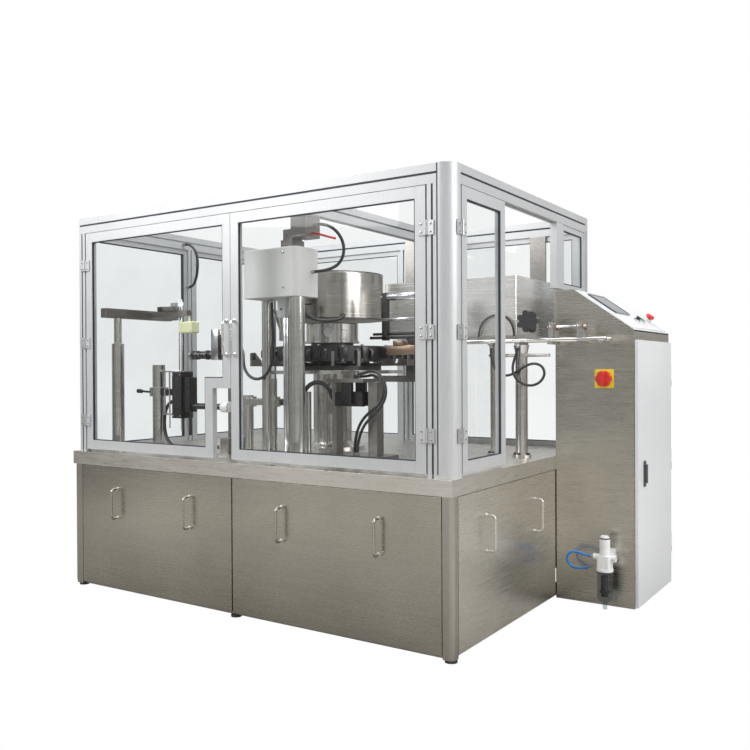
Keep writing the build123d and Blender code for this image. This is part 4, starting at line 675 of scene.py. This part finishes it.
# Hoses and cables: black rubber and one blue air tube, each from its fitting to the piece that it serves.
hose_rubber = coat("hose_rubber", (0.012, 0.012, 0.014), (0.03, 0.03, 0.033), 0.38, 260, 0.05, 0.0003, 0.15)
blue_tube = coat("blue_tube", (0.01, 0.16, 0.52), (0.02, 0.24, 0.68), 0.25, 200, 0.02, 0.0003, 0.4)
fitting_metal = metal("fitting_metal", (0.30, 0.30, 0.31), (0.55, 0.55, 0.56), 0.25, (160, 160, 160), 0.05, 0.0005)


def lay_hose(name, node, radius, route, material):
    """A hose as one smooth line through its route, with a ferrule at each end, that stands for its CAD solid."""
    line = bpy.data.curves.new(name, "CURVE")
    line.dimensions = "3D"
    line.resolution_u = 10
    line.bevel_depth = radius / 1000
    line.bevel_resolution = 5
    line.use_fill_caps = True
    spline = line.splines.new("NURBS")
    spline.points.add(len(route) - 1)
    for point, spot in zip(spline.points, route):
        point.co = (*place(*spot), 1)
    spline.order_u = 3
    spline.use_endpoint_u = True
    line.materials.append(material)
    made = bpy.data.objects.new(name, line)
    bpy.context.scene.collection.objects.link(made)
    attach(made, "machine")
    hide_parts(node)
    shape = bmesh.new()
    for end, inward in ((route[0], route[1]), (route[-1], route[-2])):
        run = Vector(inward) - Vector(end)
        step = run.normalized()
        start = Vector(end) + step * 0.3
        near = Vector(end) + step * min(1.6 * radius, 0.6 * run.length)
        add_rod(shape, tuple(start), tuple(near), radius * 1.28, segments=6, bevel=0.4)
        add_rod(shape, tuple(near), tuple(near + step * 0.7 * radius), radius * 1.14, segments=24, bevel=0.4)
    ferrules = finish_piece(name + "_ferrules", shape, fitting_metal, "machine")
    return made


lay_hose("head_hose", "head_hoses", 6.5, [
    (-770, 255, 1590), (-735, 255, 1590), (-690, 260, 1576), (-655, 268, 1543), (-636, 272, 1500), (-638, 274, 1456),
    (-662, 272, 1420), (-702, 268, 1404), (-745, 264, 1398), (-791, 264, 1398)], hose_rubber)
lay_hose("drum_hose", "head_hoses", 6.5, [
    (-866, 290, 1294), (-866, 290, 1264), (-862, 300, 1236), (-848, 322, 1214), (-826, 356, 1204), (-806, 398, 1203),
    (-796, 444, 1208), (-796, 486, 1222), (-806.5, 516.2, 1240), (-831.7, 539, 1240)], hose_rubber)
lay_hose("tool_hose", "head_hoses", 6.5, [
    (-1297, 318, 1100), (-1266, 318, 1100), (-1226, 307, 1093), (-1191, 283, 1071), (-1166, 255, 1036),
    (-1144, 238, 996), (-1108, 231, 964), (-1063, 229, 952), (-1022, 231, 966), (-997, 236, 1000), (-988, 239, 1045),
    (-985, 240, 1098), (-984, 240, 1152), (-987, 240, 1206), (-990, 240, 1254), (-990, 240, 1294)], hose_rubber)
lay_hose("roof_hose", "head_hoses", 7, [
    (-1934, 640, 1655), (-1906, 640, 1655), (-1872, 641, 1642), (-1846, 643, 1612), (-1836, 645, 1570),
    (-1838, 647, 1524), (-1850, 651, 1482), (-1872, 658, 1450), (-1903, 666, 1432), (-1934, 666, 1432)], hose_rubber)
lay_hose("seal_hose", "sealing_hoses", 10, [
    (-970, 421, 620), (-970, 421, 690), (-975, 422, 775), (-969, 422, 877), (-948, 422, 916), (-910, 423, 938),
    (-866, 423, 938), (-828, 423, 916), (-806, 423, 877), (-806, 423, 845)], hose_rubber)
lay_hose("outer_loop", "sealing_hoses", 6, [
    (-680, 412, 974), (-642, 412, 974), (-594, 408, 992), (-550, 404, 974), (-519, 396, 936), (-510, 388, 888),
    (-527, 380, 843), (-562, 374, 806), (-600, 370, 774), (-624, 367, 730), (-637, 365, 682),
    (-637, 365, 636)], hose_rubber)
lay_hose("inner_loop", "sealing_hoses", 6, [
    (-680, 430, 964), (-642, 430, 964), (-600, 427, 972), (-563, 420, 960), (-538, 411, 928), (-532, 398, 886),
    (-545, 386, 848), (-580, 378, 822), (-616, 375, 790), (-640, 373, 750), (-650, 372, 712), (-655, 371, 674),
    (-655, 371, 636)], hose_rubber)
lay_hose("printer_cable", "printer_hose", 8, [
    (-1620, 294, 850), (-1650, 294, 850), (-1678, 292, 832), (-1694, 289, 802), (-1699, 286, 762), (-1694, 282, 720),
    (-1678, 277, 680), (-1648, 270, 652), (-1608, 262, 638), (-1562, 256, 632), (-1514, 252, 629),
    (-1464, 252, 630), (-1416, 257, 635), (-1372, 263, 642), (-1334, 268, 648), (-1300, 268, 648)], hose_rubber)
lay_hose("magazine_loop", "magazine_hose", 5.5, [
    (-105, 779, 1094), (-106, 778, 1066), (-118, 773, 1032), (-124, 767, 994), (-110, 762, 956), (-76, 759, 930),
    (-32, 760, 922), (6, 764, 940), (22, 769, 976), (4, 774, 1008), (-36, 778, 1018), (-78, 780, 1002),
    (-116, 781, 976), (-160, 781, 962), (-198, 781, 978), (-219, 781, 1014), (-228, 780, 1054),
    (-228, 780, 1094)], hose_rubber)
lay_hose("magazine_arc", "magazine_hose", 4.5, [
    (-289, 788, 1120.3), (-289, 788, 1150), (-277, 787, 1186), (-247, 786, 1214), (-206, 785, 1226),
    (-165, 785, 1218), (-135, 786, 1190), (-124, 788, 1152), (-124, 788, 1120.3)], hose_rubber)
lay_hose("air_tube", "air_hose", 5, [
    (189, 870, 224), (160, 870, 224), (128, 870, 232), (98, 870, 235), (82, 872, 224), (72, 875, 208), (72, 879, 188),
    (82, 884, 172), (98, 892, 162), (118, 899, 160), (134, 908, 160), (142, 921, 161), (142, 940, 161)], blue_tube)
